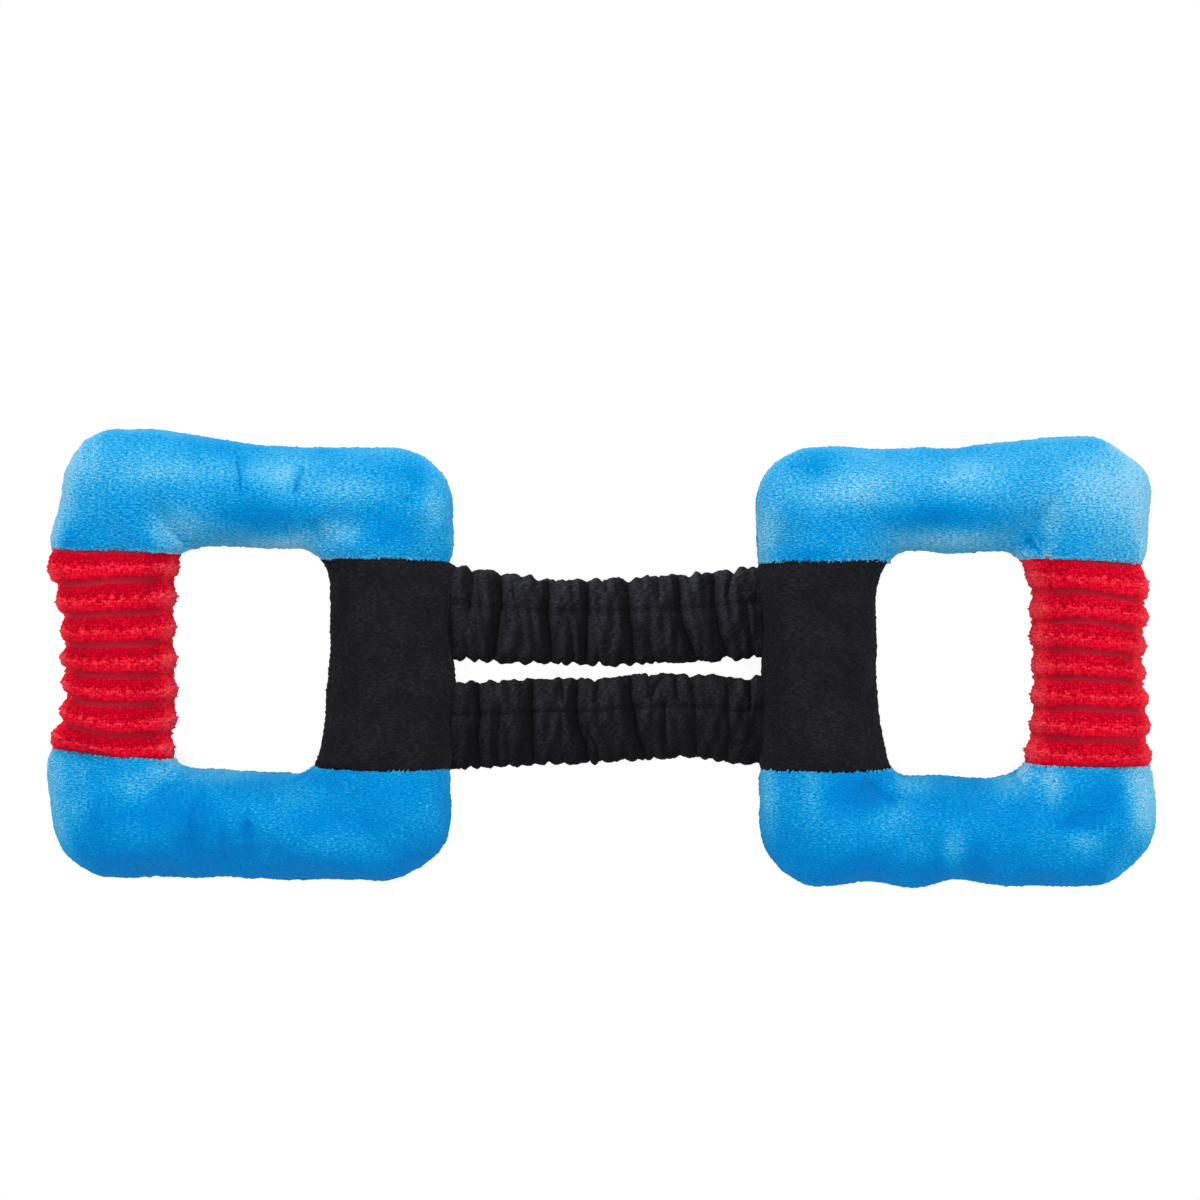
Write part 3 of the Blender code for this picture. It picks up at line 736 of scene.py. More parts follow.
@dataclass(frozen=True)
class Terry:
    """Ribbed terry cloth: looped pile on thick ribs, with bare knitted ground between.

    Attributes:
        name: Name of the material.
        ground: Colour of the bare ground in the grooves.
        deep: Colour between the loops.
        mid: Colour of the loops.
        light: Colour of the loops' tips.
        loop_pitch: Distance between loops, in mm.
    """

    name: str = "ribbed_terry_red"
    ground: str = "#9c1e2e"
    deep: str = "#a6001a"
    mid: str = "#d40828"
    light: str = "#ec3e4a"
    loop_pitch: float = 1.15

    def material(self) -> bpy.types.Material:
        """Makes the material.

        Returns:
            The finished material.
        """
        made, place = blank_material(self.name)
        tree = made.node_tree
        scaled, lengths = (add_node(tree, "Mapping", {
            "Vector": place.outputs["UV"],
            "Scale": (along / self.loop_pitch, across / self.loop_pitch, 1.0)})
            for along, across in ((1, 1), (1.4, 0.6)))
        loops = add_node(tree, "TexVoronoi", {
            "Vector": scaled, "Scale": 1.0, "Randomness": 0.6})
        gaps = add_node(tree, "Math", {0: loops, 1: loops}, operation='MULTIPLY')
        fibres = add_node(tree, "TexNoise", {
            "Vector": lengths, "Scale": 1.0, "Detail": 2.0, "Roughness": 0.6})
        pile, crest, apart = (add_node(tree, "Attribute", attribute_name=name).outputs["Fac"]
                              for name in ("pile", "crest", "apart"))
        tips = add_node(tree, "Math", {0: gaps, 1: -1.4, 2: fibres},
                        operation='MULTIPLY_ADD')
        centred = add_node(tree, "Math", {0: tips, 1: 0.24}, operation='SUBTRACT')
        shade = add_node(tree, "Math", {0: centred, 1: apart, 2: 0.39},
                         operation='MULTIPLY_ADD')
        # The crest tone carries the loops' lie, with painted shade beside the grooves and painted
        # sheen at the grip's edges
        shade = add_node(tree, "Math", {0: crest, 1: 0.4, 2: shade},
                         operation='MULTIPLY_ADD')
        loop_colour = add_node(tree, "ValToRGB", {"Fac": shade}, (
            (0.05, self.deep), (0.45, self.mid), (1.0, self.light)))
        bare = add_node(tree, "MapRange", {"Value": pile, "From Min": 0.04, "From Max": 0.42})
        colour = add_node(tree, "Mix", {
            "Factor": bare, 6: linear(self.ground), 7: loop_colour}, data_type='RGBA')
        relief = add_node(tree, "Math", {0: tips, 1: pile}, operation='MULTIPLY')
        return finish_material(made, relief, 0.4, {
            "Base Color": colour.outputs[2], "Roughness": 0.95, "Specular IOR Level": 0.04,
            "Sheen Weight": 0.05, "Sheen Roughness": 0.4, "Sheen Tint": linear("#ff9090")})


# Ribbed cotton terry: saturated red loops, pinkish where they stand on a rib's crest, and a
# duller flat red where the knitted ground lies bare in the grooves
RED_TERRY = Terry()


@dataclass(frozen=True)
class Plain:
    """A simple finish with a fine grain, for webbing, thread, filling and moulded plastic.

    Attributes:
        name: Name of the material.
        dark: Colour in the hollows of the grain.
        light: Colour on top of it.
        grain: Size of the grain in mm, coarser than single fibres, which wouldn't show.
        roughness: Roughness of the surface.
        bump: Height of the grain in mm.
    """

    name: str
    dark: str
    light: str
    grain: float
    roughness: float
    bump: float

    def material(self) -> bpy.types.Material:
        """Makes the material.

        Returns:
            The finished material.
        """
        made, place = blank_material(self.name)
        grain = add_node(made.node_tree, "TexNoise", {
            "Vector": place.outputs["Object"], "Scale": 1 / (self.grain * MM), "Detail": 4.0})
        colour = add_node(made.node_tree, "ValToRGB", {"Fac": grain},
                          ((0.3, self.dark), (0.7, self.light)))
        return finish_material(made, grain, self.bump,
                               {"Base Color": colour, "Roughness": self.roughness,
                                "Specular IOR Level": 0.5 * (1 - self.roughness)})


# Needled hollow fibre: matt white, cloudy
WHITE_FIBRE = Plain("hollow_fibre_stuffing", "#d8d8d4", "#f2f2ef", 3.0, 0.95, 0.8)
# Woven rubber-cored elastic: dull black with a fine grain
BLACK_ELASTIC = Plain("woven_elastic_black", "#0f0f12", "#26262b", 0.8, 0.75, 0.2)
# Spun polyester thread: matt and nearly black, a little darker than the plush
BLACK_THREAD = Plain("spun_polyester_thread_black", "#070709", "#131317", 0.4, 0.95, 0.1)
# Moulded polyethylene: milky and smooth
SQUEAKER_PLASTIC = Plain("moulded_polyethylene_milky", "#dcdcd8", "#ecece8", 6.0, 0.35, 0.05)


# Handles


# Height of the pile across one rib, from groove to groove, as shares of the rib's height
RIB_PROFILE = ((0, 0.06, 0.12, 0.2, 0.35, 0.56, 0.68, 0.8, 0.88, 0.94, 1),
               (0, 0.06, 0.4, 0.64, 0.87, 1.0, 0.97, 0.84, 0.6, 0.12, 0))
# The same where the rib turns over the grip's edge
RIB_EDGE_PROFILE = ((0, 0.08, 0.2, 0.5, 0.8, 0.92, 1), (0.0, 0.25, 0.7, 1.2, 0.95, 0.35, 0.0))
# How far the single loops of the pile stand out from each other in colour, across one rib
RIB_CONTRAST = ((0.0, 0.15, 0.42, 0.52, 0.66), (0.6, 0.95, 0.95, 0.55, 0.45))
# The same at the grip's edge
RIB_EDGE_CONTRAST = 0.45


@dataclass
class Handle:
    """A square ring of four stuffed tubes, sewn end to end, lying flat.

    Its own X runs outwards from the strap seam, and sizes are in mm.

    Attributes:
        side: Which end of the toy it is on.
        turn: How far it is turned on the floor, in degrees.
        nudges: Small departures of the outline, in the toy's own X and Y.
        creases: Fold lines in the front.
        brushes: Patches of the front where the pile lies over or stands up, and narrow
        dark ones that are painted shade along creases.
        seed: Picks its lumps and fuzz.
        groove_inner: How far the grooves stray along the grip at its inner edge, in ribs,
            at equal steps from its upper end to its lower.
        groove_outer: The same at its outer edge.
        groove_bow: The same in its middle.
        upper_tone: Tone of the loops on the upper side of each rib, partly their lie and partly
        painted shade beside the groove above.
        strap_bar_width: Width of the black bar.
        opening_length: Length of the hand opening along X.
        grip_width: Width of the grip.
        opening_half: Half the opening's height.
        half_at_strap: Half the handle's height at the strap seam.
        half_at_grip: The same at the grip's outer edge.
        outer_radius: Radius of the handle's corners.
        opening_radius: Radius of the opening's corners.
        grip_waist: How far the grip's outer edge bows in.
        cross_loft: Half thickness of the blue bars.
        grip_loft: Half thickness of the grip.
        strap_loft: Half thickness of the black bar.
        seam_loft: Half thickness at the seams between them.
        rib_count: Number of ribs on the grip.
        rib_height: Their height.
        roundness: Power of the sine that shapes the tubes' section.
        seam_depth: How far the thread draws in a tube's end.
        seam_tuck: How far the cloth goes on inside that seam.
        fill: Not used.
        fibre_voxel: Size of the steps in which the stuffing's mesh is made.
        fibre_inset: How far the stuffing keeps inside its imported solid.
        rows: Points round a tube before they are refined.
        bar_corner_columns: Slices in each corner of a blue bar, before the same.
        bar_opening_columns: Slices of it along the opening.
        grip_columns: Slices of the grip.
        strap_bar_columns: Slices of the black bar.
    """

    side: Side
    turn: float
    nudges: tuple[Nudge, ...] = ()
    creases: tuple[Crease, ...] = ()
    brushes: tuple[Brush, ...] = ()
    seed: int = 1
    groove_inner: tuple[float, ...] = (0.0, 0.0)
    groove_outer: tuple[float, ...] = (0.0, 0.0)
    groove_bow: tuple[float, ...] = (0.0, 0.0)
    upper_tone: float = -0.85
    strap_bar_width: float = 48.6
    opening_length: float = 61.0
    grip_width: float = 50.0
    opening_half: float = 44.0
    half_at_strap: float = 86.6
    half_at_grip: float = 89.8
    outer_radius: float = 25.0
    opening_radius: float = 9.0
    grip_waist: float = 2.0
    cross_loft: float = 21.0
    grip_loft: float = 21.0
    strap_loft: float = 20.2
    seam_loft: float = 19.2
    rib_count: int = 7
    rib_height: float = 2.6
    roundness: float = 0.92
    seam_depth: float = 1.8
    seam_tuck: float = 0.5
    fill: float = 0.8
    fibre_voxel: float = 3.0
    fibre_inset: float = 2.2
    rows: int = 40
    bar_corner_columns: int = 28
    bar_opening_columns: int = 16
    grip_columns: int = 30
    strap_bar_columns: int = 28

    @property
    def length(self) -> float:
        """Distance from the strap seam to the grip's outer edge."""
        return self.strap_bar_width + self.opening_length + self.grip_width

    @property
    def grip_x(self) -> float:
        """Where the grip begins."""
        return self.strap_bar_width + self.opening_length

    @property
    def seam_y(self) -> float:
        """Half the distance between the seams at a grip's or strap bar's two ends."""
        return self.opening_half - self.opening_radius * (1 - math.sin(math.pi / 4))

    @property
    def taper(self) -> float:
        """Slope of the outer edges."""
        return math.atan2(self.half_at_grip - self.half_at_strap, self.length)

    def to_toy(self, spots: np.ndarray) -> np.ndarray:
        """Lays the handle's own plane on the toy's, and moves it by the nudges.

        Args:
            spots: Places on the handle's plane, in mm.

        Returns:
            The same places on the toy's plane.
        """
        way = 1 if self.side is Side.RIGHT else -1
        angle = math.radians(self.turn) + (0 if way > 0 else math.pi)
        spin = np.array([[math.cos(angle), math.sin(angle)], [-math.sin(angle), math.cos(angle)]])
        placed = spots @ spin + TOY_MIDDLE[:2] + (way * STRAP_LENGTH / 2, 0)
        return placed + sum(nudge.move(placed) for nudge in self.nudges)

    def fullness(self, share: np.ndarray, loft: float) -> np.ndarray:
        """Half thickness along a tube, from seam to seam."""
        return mix(self.seam_loft, loft, 1 - np.abs(2 * share - 1) ** 4)

    def cross_bar(self, factor: int, way: int) -> Slices:
        """Returns the slices of a blue bar with its two corners.

        Args:
            factor: How many slices stand for one of the coarse ones.
            way: 1 for the bar at +Y, from strap to grip, and -1 for the other, going back.

        Returns:
            The slices, in the toy's own plane.
        """
        corner, opening = self.bar_corner_columns * factor, self.bar_opening_columns * factor

        def edge(x: float) -> float:
            """Returns the Y of the outer edge at an X."""
            return self.half_at_strap + x * math.tan(self.taper)

        def hub(x: float) -> np.ndarray:
            """Returns the middle of the corner at an X."""
            return np.array([x, edge(x) - self.outer_radius / math.cos(self.taper)])

        inside_y = self.opening_half - self.opening_radius
        strap_x = self.strap_bar_width + self.opening_radius
        grip_x = self.grip_x - self.opening_radius
        strap_top, grip_top = np.array([[strap_x, edge(strap_x)], [grip_x, edge(grip_x)]])
        up = math.pi / 2
        first = arc(hub(self.outer_radius), self.outer_radius, math.pi, up + self.taper)
        last = arc(hub(self.length - self.outer_radius), self.outer_radius, up + self.taper, 0)
        seam = math.asin((self.seam_y - inside_y) / self.opening_radius)
        first_in = arc(np.array([strap_x, inside_y]), self.opening_radius, math.pi - seam, up)
        last_in = arc(np.array([grip_x, inside_y]), self.opening_radius, up, seam)
        outer = np.concatenate([
            spread(np.concatenate([[[0, self.seam_y]], first, [strap_top]]), corner)[:-1],
            spread(np.array([strap_top, grip_top]), opening)[:-1],
            spread(np.concatenate([[grip_top], last, [[self.length, self.seam_y]]]), corner)])
        inner = np.concatenate([
            spread(first_in, corner)[:-1],
            spread(np.array([first_in[-1], last_in[0]]), opening)[:-1],
            spread(last_in, corner)])
        loft = self.fullness(np.linspace(0, 1, len(outer)), self.cross_loft)
        if way < 0:
            inner, outer = inner[::-1] * (1, -1), outer[::-1] * (1, -1)
        return Slices(self.to_toy(inner), self.to_toy(outer), loft)

    def side_bar(self, factor: int, grip: bool) -> Slices:
        """Returns the slices of the grip, or of the black bar at the strap end.

        Args:
            factor: How many slices stand for one of the coarse ones.
            grip: True for the grip.

        Returns:
            The slices, in the toy's own plane.
        """
        count = (self.grip_columns if grip else self.strap_bar_columns) * factor
        y = np.linspace(self.seam_y, -self.seam_y, count + 1) * (1 if grip else -1)
        over = np.maximum(0, np.abs(y) - (self.opening_half - self.opening_radius))
        bulge = self.opening_radius - np.sqrt(self.opening_radius ** 2 - over ** 2)
        if grip:
            inner_x = self.grip_x - bulge
            outer_x = self.length - self.grip_waist * (1 - (y / self.seam_y) ** 2)
        else:
            inner_x, outer_x = self.strap_bar_width + bulge, np.zeros_like(y)
        loft = self.fullness(np.linspace(0, 1, count + 1),
                             self.grip_loft if grip else self.strap_loft)
        return Slices(self.to_toy(np.stack([inner_x, y], axis=1)),
                      self.to_toy(np.stack([outer_x, y], axis=1)), loft)

    def stuffed(self) -> np.ndarray:
        """Blows the whole ring up as cloth, held along its seams across the bars.

        Returns:
            How far each point of the coarse ring moves, in mm.
        """
        parts = [self.cross_bar(1, 1), self.side_bar(1, True), self.cross_bar(1, -1),
                 self.side_bar(1, False)]
        ring = joined(parts)
        points = ring.surface(self.rows, self.roundness)
        return puffed(f"{self.side.value}_blank", points, cap=3.0, dent=1.4)

    def outline_seam(self, shell: Shell, depth: float) -> None:
        """Pulls in the seam round the outline and the puckers that it makes.

        Args:
            shell: The tube's cloth.
            depth: How deep the seam lies, in mm.
        """
        away = shell.from_edges()
        groove = depth * np.exp(-away / 1.4)
        pucker = 0.07 * ripples(shell.flat, 9, self.seed + 40) * np.exp(-(away / 7) ** 2)
        shell.push(pucker - groove)

    def end_seams(self, shell: Shell, rings: np.ndarray, reach: float) -> None:
        """Draws both ends of a tube down to the seams that it shares with its neighbours.

        Args:
            shell: The tube's cloth.
            rings: The two loops of thread that its first and last columns are sewn to.
            reach: How far along the cloth the pull is felt, in mm.
        """
        away = shell.from_ends()
        half = len(shell.points) // 2
        pull = rings - shell.points[[0, -1]]
        share = np.exp(-away / reach)[..., None]
        shell.points[:half] += share[:half] * pull[0]
        shell.points[half:] += share[half:] * pull[1]
        tuck = rings - shell.points[[2, -3]]
        tuck /= np.linalg.norm(tuck, axis=2, keepdims=True)
        shell.points[[0, -1]] += self.seam_tuck * tuck.mean(axis=1, keepdims=True)

    def seam_rings(self, points: np.ndarray) -> np.ndarray:
        """Draws the two loops of thread that a tube's ends are sewn to.

        Args:
            points: The tube's grid of points.

        Returns:
            The points of both loops.
        """
        rings = points[[0, -1]]
        middle = rings.mean(axis=1, keepdims=True)
        spokes = rings - middle
        size = np.linalg.norm(spokes, axis=2, keepdims=True)
        return middle + spokes * (1 - self.seam_depth / size)

    def lumps(self, shell: Shell, big: float) -> None:
        """Adds the uneven stuffing."""
        shell.push(big * ripples(shell.points, 34, self.seed)
                   + 0.2 * big * ripples(shell.points, 13, self.seed + 1))

    def pile(self, shell: Shell, height: float) -> None:
        """Adds the clumps that the pile's fibres make."""
        shell.push(height * (ripples(shell.points, 3.2, self.seed + 2)
                             + ripples(shell.flat * (0.6, 1), 1.5, self.seed + 3, 24)))

    def tube_shell(self, name: str, slices: Slices, moved: np.ndarray, across: int) -> Shell:
        """Makes the shell of one tube.

        Args:
            name: Name of the piece.
            slices: Its slices.
            moved: How far the simulation moved each point, in mm.
            across: How many points stand for one of the coarse ones round the tube.

        Returns:
            The shell.
        """
        rows = self.rows * across
        points = slices.surface(rows, self.roundness)
        flat = slices.flat_cloth(points)
        points = points + moved
        points[..., 2] += TOY_MIDDLE[2]
        return Shell(name, points, flat)

    def crease(self, shell: Shell) -> np.ndarray:
        """Presses the fold lines into the front.

        Args:
            shell: The tube's cloth.

        Returns:
            How deep each point went, in mm.
        """
        front = smooth((shell.points[..., 2] - TOY_MIDDLE[2]) / 6 + 0.5)
        pressed = front * sum((crease.press(seen(shell.points)) for crease in self.creases),
                              np.zeros(shell.points.shape[:2]))
        shell.push(-pressed)
        return pressed

    def ribs(self, shell: Shell) -> None:
        """Raises the thick ribs of the grip, with the back ones half a rib further on.

        Args:
            shell: The grip's cloth.
        """
        columns, rows = shell.points.shape[:2]
        along = np.linspace(0, 1, columns)[:, None]
        if self.side is Side.LEFT:
            along = 1 - along
        turn = np.arange(rows)[None, :] / rows * math.tau
        across = (1 - np.cos(turn)) / 2
        stops = np.linspace(0, 1, len(self.groove_inner))
        lean = mix(np.interp(along, stops, self.groove_inner),
                   np.interp(along, stops, self.groove_outer), across)
        lean = lean + np.interp(along, stops, self.groove_bow) * np.sin(math.pi * across)
        wander = 0.012 * ripples(np.stack(np.broadcast_arrays(along * 83, across * 50), axis=-1),
                                 30, self.seed + 5)
        phase = along * self.rib_count + lean + wander
        back = turn > math.pi
        phase = np.where(back, phase + 0.5, phase)
        part = np.mod(phase, 1)
        edge = smooth(1.4 - 1.8 * np.abs(np.sin(turn)))
        height = mix(np.interp(part, *RIB_PROFILE),
                     np.interp(part, *RIB_EDGE_PROFILE) * np.where(back, 0.5, 1), edge)
        loops = ripples(shell.flat, 1.4, self.seed + 7, 24)
        lens = 0.1 * np.abs(np.sin(turn)) ** 1.5
        ragged = part - lens + 0.045 * ripples(shell.flat, 4, self.seed + 9)
        crest = np.exp(-((ragged - 0.5) / 0.07) ** 2)
        shell.tones["pile"] = height + 0.3 * edge
        # The crest tone is partly the loops' lie, brightest in a ragged line on the crest, and
        # partly painted: shade beside each groove, and sheen where the grip's edges turn away
        shell.tones["crest"] = 1.2 * edge + np.interp(
            ragged, (0.0, 0.08, 0.3, 0.4, 0.5, 0.58, 0.75, 0.86),
            (-0.3, self.upper_tone, 0.6 * self.upper_tone, 0.0, 1.0, 0.25, 0.1, -0.45))
        shell.tones["apart"] = mix(np.interp(ragged, *RIB_CONTRAST), RIB_EDGE_CONTRAST, edge)
        shell.push(-self.rib_height * (1 - height)
                   + (0.2 + 0.15 * crest + 0.05 * edge) * loops * np.minimum(height, 1)
                   + 0.4 * crest * ripples(shell.flat, 4, self.seed + 8))

    def nap_and_painted_light(self, shell: Shell, part: str) -> np.ndarray:
        """Paints light and shade into the bars' tone, with patches where the pile lies over.

        It paints sheen on the sides that face out at the outer ends, by the openings on the top
        bar and at the rim where the cloth turns away; light on the top bars' +Y flank, with the
        top bar a little lighter all over than the others; and shade on the bottom bars' -Y flank.
        A light fringe at the seams and the brushes come on top.

        Args:
            shell: The tube's cloth; it gets the tone "soft" at its rim, which marks the painted
                sheen there.
            part: Which tube it is.

        Returns:
            The painted light and shade, with the laid pile, at each point.
        """
        if part == "strap_bar":
            return np.zeros(shell.points.shape[:2])
        normal = shell.normals()
        # Painted sheen on the sides that face out at the handles' outer ends
        outer = np.abs(shell.points[..., 0]) - 150
        ends = 0.5 * smooth(np.abs(normal[..., 0]) * 1.5 - 0.3) * smooth(outer / 60 + 0.5)
        height = shell.points[..., 1]
        # Painted shade on the bottom bars' -Y flank, and painted light on the top bars' +Y flank
        lower = -0.2 * smooth(-normal[..., 1] * 1.4 - 0.1) * smooth(-height / 20 - 2.5)
        upper = 0.12 * smooth(normal[..., 1] * 1.4 - 0.1) * smooth(height / 20 - 2.5)
        # Painted sheen by the openings, used on the top bar only
        inner = 0.14 * smooth(1 - (np.abs(height) - 43) / 18) * smooth(2 - normal[..., 2] * 2)
        front = smooth((shell.points[..., 2] - TOY_MIDDLE[2]) / 8 + 0.5)
        spots = sum((brush.stroke(seen(shell.points)) for brush in self.brushes), np.zeros(1))
        # Painted sheen at the rim where the cloth turns away, left off the bottom bars' lower
        # edge
        rim = smooth(1 - normal[..., 2] / 0.6)
        shell.tones["soft"] = rim
        rim = rim * smooth(height / 20 + 3)
        fringe = 0.25 * np.exp(-(shell.from_ends() / 1.3) ** 2)
        # Painted light: the top bar comes out a little lighter all over, the other bars darker
        return (ends + lower + upper + inner * (part == "top_bar") + 0.3 * rim + fringe
                + 1.1 * front * spots + (0.02 if part == "top_bar" else -0.03))

    def build(self) -> None:
        moved = self.stuffed()
        counts = [2 * self.bar_corner_columns + self.bar_opening_columns, self.grip_columns]
        starts = np.cumsum([0, counts[0], counts[1], counts[0]])
        total = starts[-1] + self.strap_bar_columns
        ends = ("top", "bottom") if self.side is Side.RIGHT else ("bottom", "top")
        # Part, how to slice it and which one, refinement along and round, finish, slot
        plans = (
            (f"{ends[0]}_bar", self.cross_bar, 1, 5, 5, BLUE, "blue_plush"),
            ("grip", self.side_bar, True, 6, 8, RED, "red_ribbed_plush"),
            (f"{ends[1]}_bar", self.cross_bar, -1, 5, 5, BLUE, "blue_plush"),
            ("strap_bar", self.side_bar, False, 5, 5, BLACK, "black_plush"),
        )
        for (part, slicer, option, factor, across, finish, slot), start, stop in zip(
                plans, starts, [*starts[1:], total]):
            slices = slicer(factor, option)
            piece = np.take(moved, np.arange(start, stop + 1), axis=0, mode="wrap")
            piece = resample(resample(piece, factor, 0, False), across, 1, True)
            name = f"{self.side.value}_{part}"
            shell = self.tube_shell(f"{name}_plush", slices, piece, across)
            rings = self.seam_rings(shell.points)
            self.lumps(shell, 0.5)
            if part == "grip":
                self.ribs(shell)
                self.end_seams(shell, rings, 1.0)
            else:
                pressed = self.crease(shell)
                self.outline_seam(shell, 1.1)
                self.end_seams(shell, rings, 1.6)
                # Painted shade: the tone is darkened in the creases by how deep they are pressed
                shell.tones["nap_and_painted_light"] = self.nap_and_painted_light(shell, part) - 0.14 * pressed
                self.pile(shell, 0.07)
                shell.push(0.16 * np.exp(-(shell.from_edges() / 6) ** 2)
                           * ripples(shell.points, 1.7, self.seed + 13, 24))
                shell.push(0.6 * np.exp(-(shell.from_ends() / 1.4) ** 2)
                           * (0.5 + 0.6 * ripples(shell.flat, 1.9, self.seed + 12, 24)))
            shell.rest_on_floor()
            self.declare(shell.solid(), finish, slot, f"{name}_front", f"{name}_back")
        self.stuffing()

    def declare(self, obj: bpy.types.Object, finish: bpy.types.Material, slot: str,
                *nodes: str) -> None:
        """Dresses a padded piece, hangs it on its handle's body, hides the CAD nodes that it
        replaces, and reports it.

        Args:
            obj: The piece.
            finish: Its material.
            slot: Not used.
            *nodes: The CAD nodes that it replaces.
        """
        obj.data.materials.append(finish)
        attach(obj, f"{self.side.value}_handle")
        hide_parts(*nodes)
        report(obj)

    def stuffing(self) -> None:
        """Makes the loose fibre inside, with its pockets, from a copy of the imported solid."""
        name = f"{self.side.value}_fibre_fill"
        obj = bpy.data.objects.new(f"{self.side.value}_stuffing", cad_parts[name].data.copy())
        bpy.context.scene.collection.objects.link(obj)
        bpy.ops.object.select_all(action='DESELECT')
        obj.select_set(True)
        bpy.context.view_layer.objects.active = obj
        bpy.ops.object.mode_set(mode='EDIT')
        bpy.ops.mesh.select_all(action='SELECT')
        bpy.ops.mesh.remove_doubles(threshold=0.00001)
        bpy.ops.object.mode_set(mode='OBJECT')
        even = obj.modifiers.new("even", 'REMESH')
        even.voxel_size = self.fibre_voxel * MM
        bpy.ops.object.modifier_apply(modifier=even.name)
        points, out = (np.array([vector[:] for vector in vectors]) for vectors in (
            [vertex.co for vertex in obj.data.vertices],
            [vertex.normal for vertex in obj.data.vertices]))
        points /= MM
        shift = sum(nudge.move(points[:, :2]) for nudge in self.nudges)
        lumps = 0.5 * ripples(points, 9, self.seed + 60)
        points += out * (lumps - self.fibre_inset)[:, None]
        points[:, :2] += shift
        obj.data.vertices.foreach_set("co", (points * MM).ravel())
        obj.data.shade_smooth()
        obj.data.materials.clear()
        self.declare(obj, FIBRE, "white_fibre", name)


def puffed(name: str, points: np.ndarray, cap: float, dent: float) -> np.ndarray:
    """Blows up a closed ring of cloth that is held along four seams.

    Args:
        name: Name of the passing object.
        points: The ring's grid of points, in mm.
        cap: How far a point may move outwards, in mm.
        dent: How far it may move inwards or along the cloth, in mm.

    Returns:
        How far each point moves, in mm.
    """
    columns, rows = points.shape[:2]
    index = np.arange(columns * rows).reshape(columns, rows)
    after = np.roll(index, -1, axis=0)
    quads = np.stack([index, np.roll(index, -1, 1), np.roll(after, -1, 1), after], axis=-1)
    blank = cloth_object(name, points.reshape(-1, 3), [quads.reshape(-1, 4)],
                         np.zeros((columns * rows, 2)), {})
    cloth = blank.modifiers.new("cloth", 'CLOTH')
    settings = cloth.settings
    settings.quality = 6
    settings.use_pressure = True
    settings.uniform_pressure_force = STUFFING_PRESSURE
    settings.shrink_min = -0.04
    settings.bending_stiffness = 0.3
    settings.effector_weights.gravity = 0
    seams = blank.vertex_groups.new(name="seams")
    half = rows // 2
    seams.add([int(i) for i in np.concatenate([index[:, 0], index[:, half]])], 1, 'REPLACE')
    settings.vertex_group_mass = seams.name
    scene = bpy.context.scene
    for frame_number in range(1, STUFFING_FRAMES + 1):
        scene.frame_set(frame_number)
    shape = blank.evaluated_get(bpy.context.evaluated_depsgraph_get())
    after_points = np.empty(len(shape.data.vertices) * 3, np.float32)
    shape.data.vertices.foreach_get("co", after_points)
    moved = after_points.reshape(points.shape) / MM - points
    scene.frame_set(1)
    bpy.data.objects.remove(blank, do_unlink=True)
    for axis in (0, 0, 0, 1):
        moved = (np.roll(moved, 1, axis) + 2 * moved + np.roll(moved, -1, axis)) / 4
    out = Shell(name, points, np.zeros((columns, rows, 2))).ring_normals()
    swelling = (moved * out).sum(axis=2)
    kept = np.where(swelling > 0, cap * np.tanh(swelling / cap), np.tanh(swelling / dent) * dent)
    along = moved - swelling[..., None] * out
    size = np.linalg.norm(along, axis=2, keepdims=True)
    return out * kept[..., None] + along * np.tanh(size / dent) * dent / np.maximum(size, 1e-6)


# Straps


def repeated(name: str, pattern: bpy.types.Object, line: np.ndarray, out: np.ndarray,
             pitch: float) -> bpy.types.Object:
    """Copies a small shape along a line, each copy turned along it.

    Args:
        name: Name of the finished piece.
        pattern: The shape at the origin, lying along X; it is used up.
        line: Points of the line, in mm.
        out: Outward direction at each of them.
        pitch: Distance between copies, in mm.

    Returns:
        All copies as one object.
    """
    corners = np.array([vertex.co for vertex in pattern.data.vertices])
    # A new sphere's faces come in no fixed order, so they are put in one
    polygons = []
    for polygon in pattern.data.polygons:
        ring = list(polygon.vertices)
        first = ring.index(min(ring))
        polygons.append(ring[first:] + ring[:first])
    polygons.sort()
    bpy.data.objects.remove(pattern, do_unlink=True)
    steps = np.linalg.norm(np.diff(line, axis=0), axis=1)
    walked = np.concatenate([[0], np.cumsum(steps)])
    count = int(walked[-1] / pitch)
    places = (np.arange(count) + 0.5) * walked[-1] / count
    points, faces = [], []
    for place in places:
        middle, ahead, normal = (
            np.array([np.interp(at, walked, data[:, axis]) for axis in range(3)])
            for at, data in ((place, line), (place + 0.5, line), (place, out)))
        along = (ahead - middle) / np.linalg.norm(ahead - middle)
        side = np.cross(normal, along)
        side /= np.linalg.norm(side)
        turn = np.stack([along, side, np.cross(along, side)])
        faces += [[corner + len(points) * len(corners) for corner in face]
                  for face in polygons]
        points.append(corners @ turn + middle * MM)
    mesh = bpy.data.meshes.new(name)
    mesh.from_pydata(np.concatenate(points).tolist(), [], faces)
    mesh.shade_smooth()
    obj = bpy.data.objects.new(name, mesh)
    bpy.context.scene.collection.objects.link(obj)
    return obj


@dataclass(frozen=True)
class Fold:
    """A valley between two gathers, on one strap.

    Attributes:
        path: Points of X in mm and share across the strap, from its upper edge to its lower.
        depth: How deep it is, in mm.
        width: How far its round shoulders reach to each side, in mm.
    """

    path: Line
    depth: float = 5.0
    width: float = 5.8


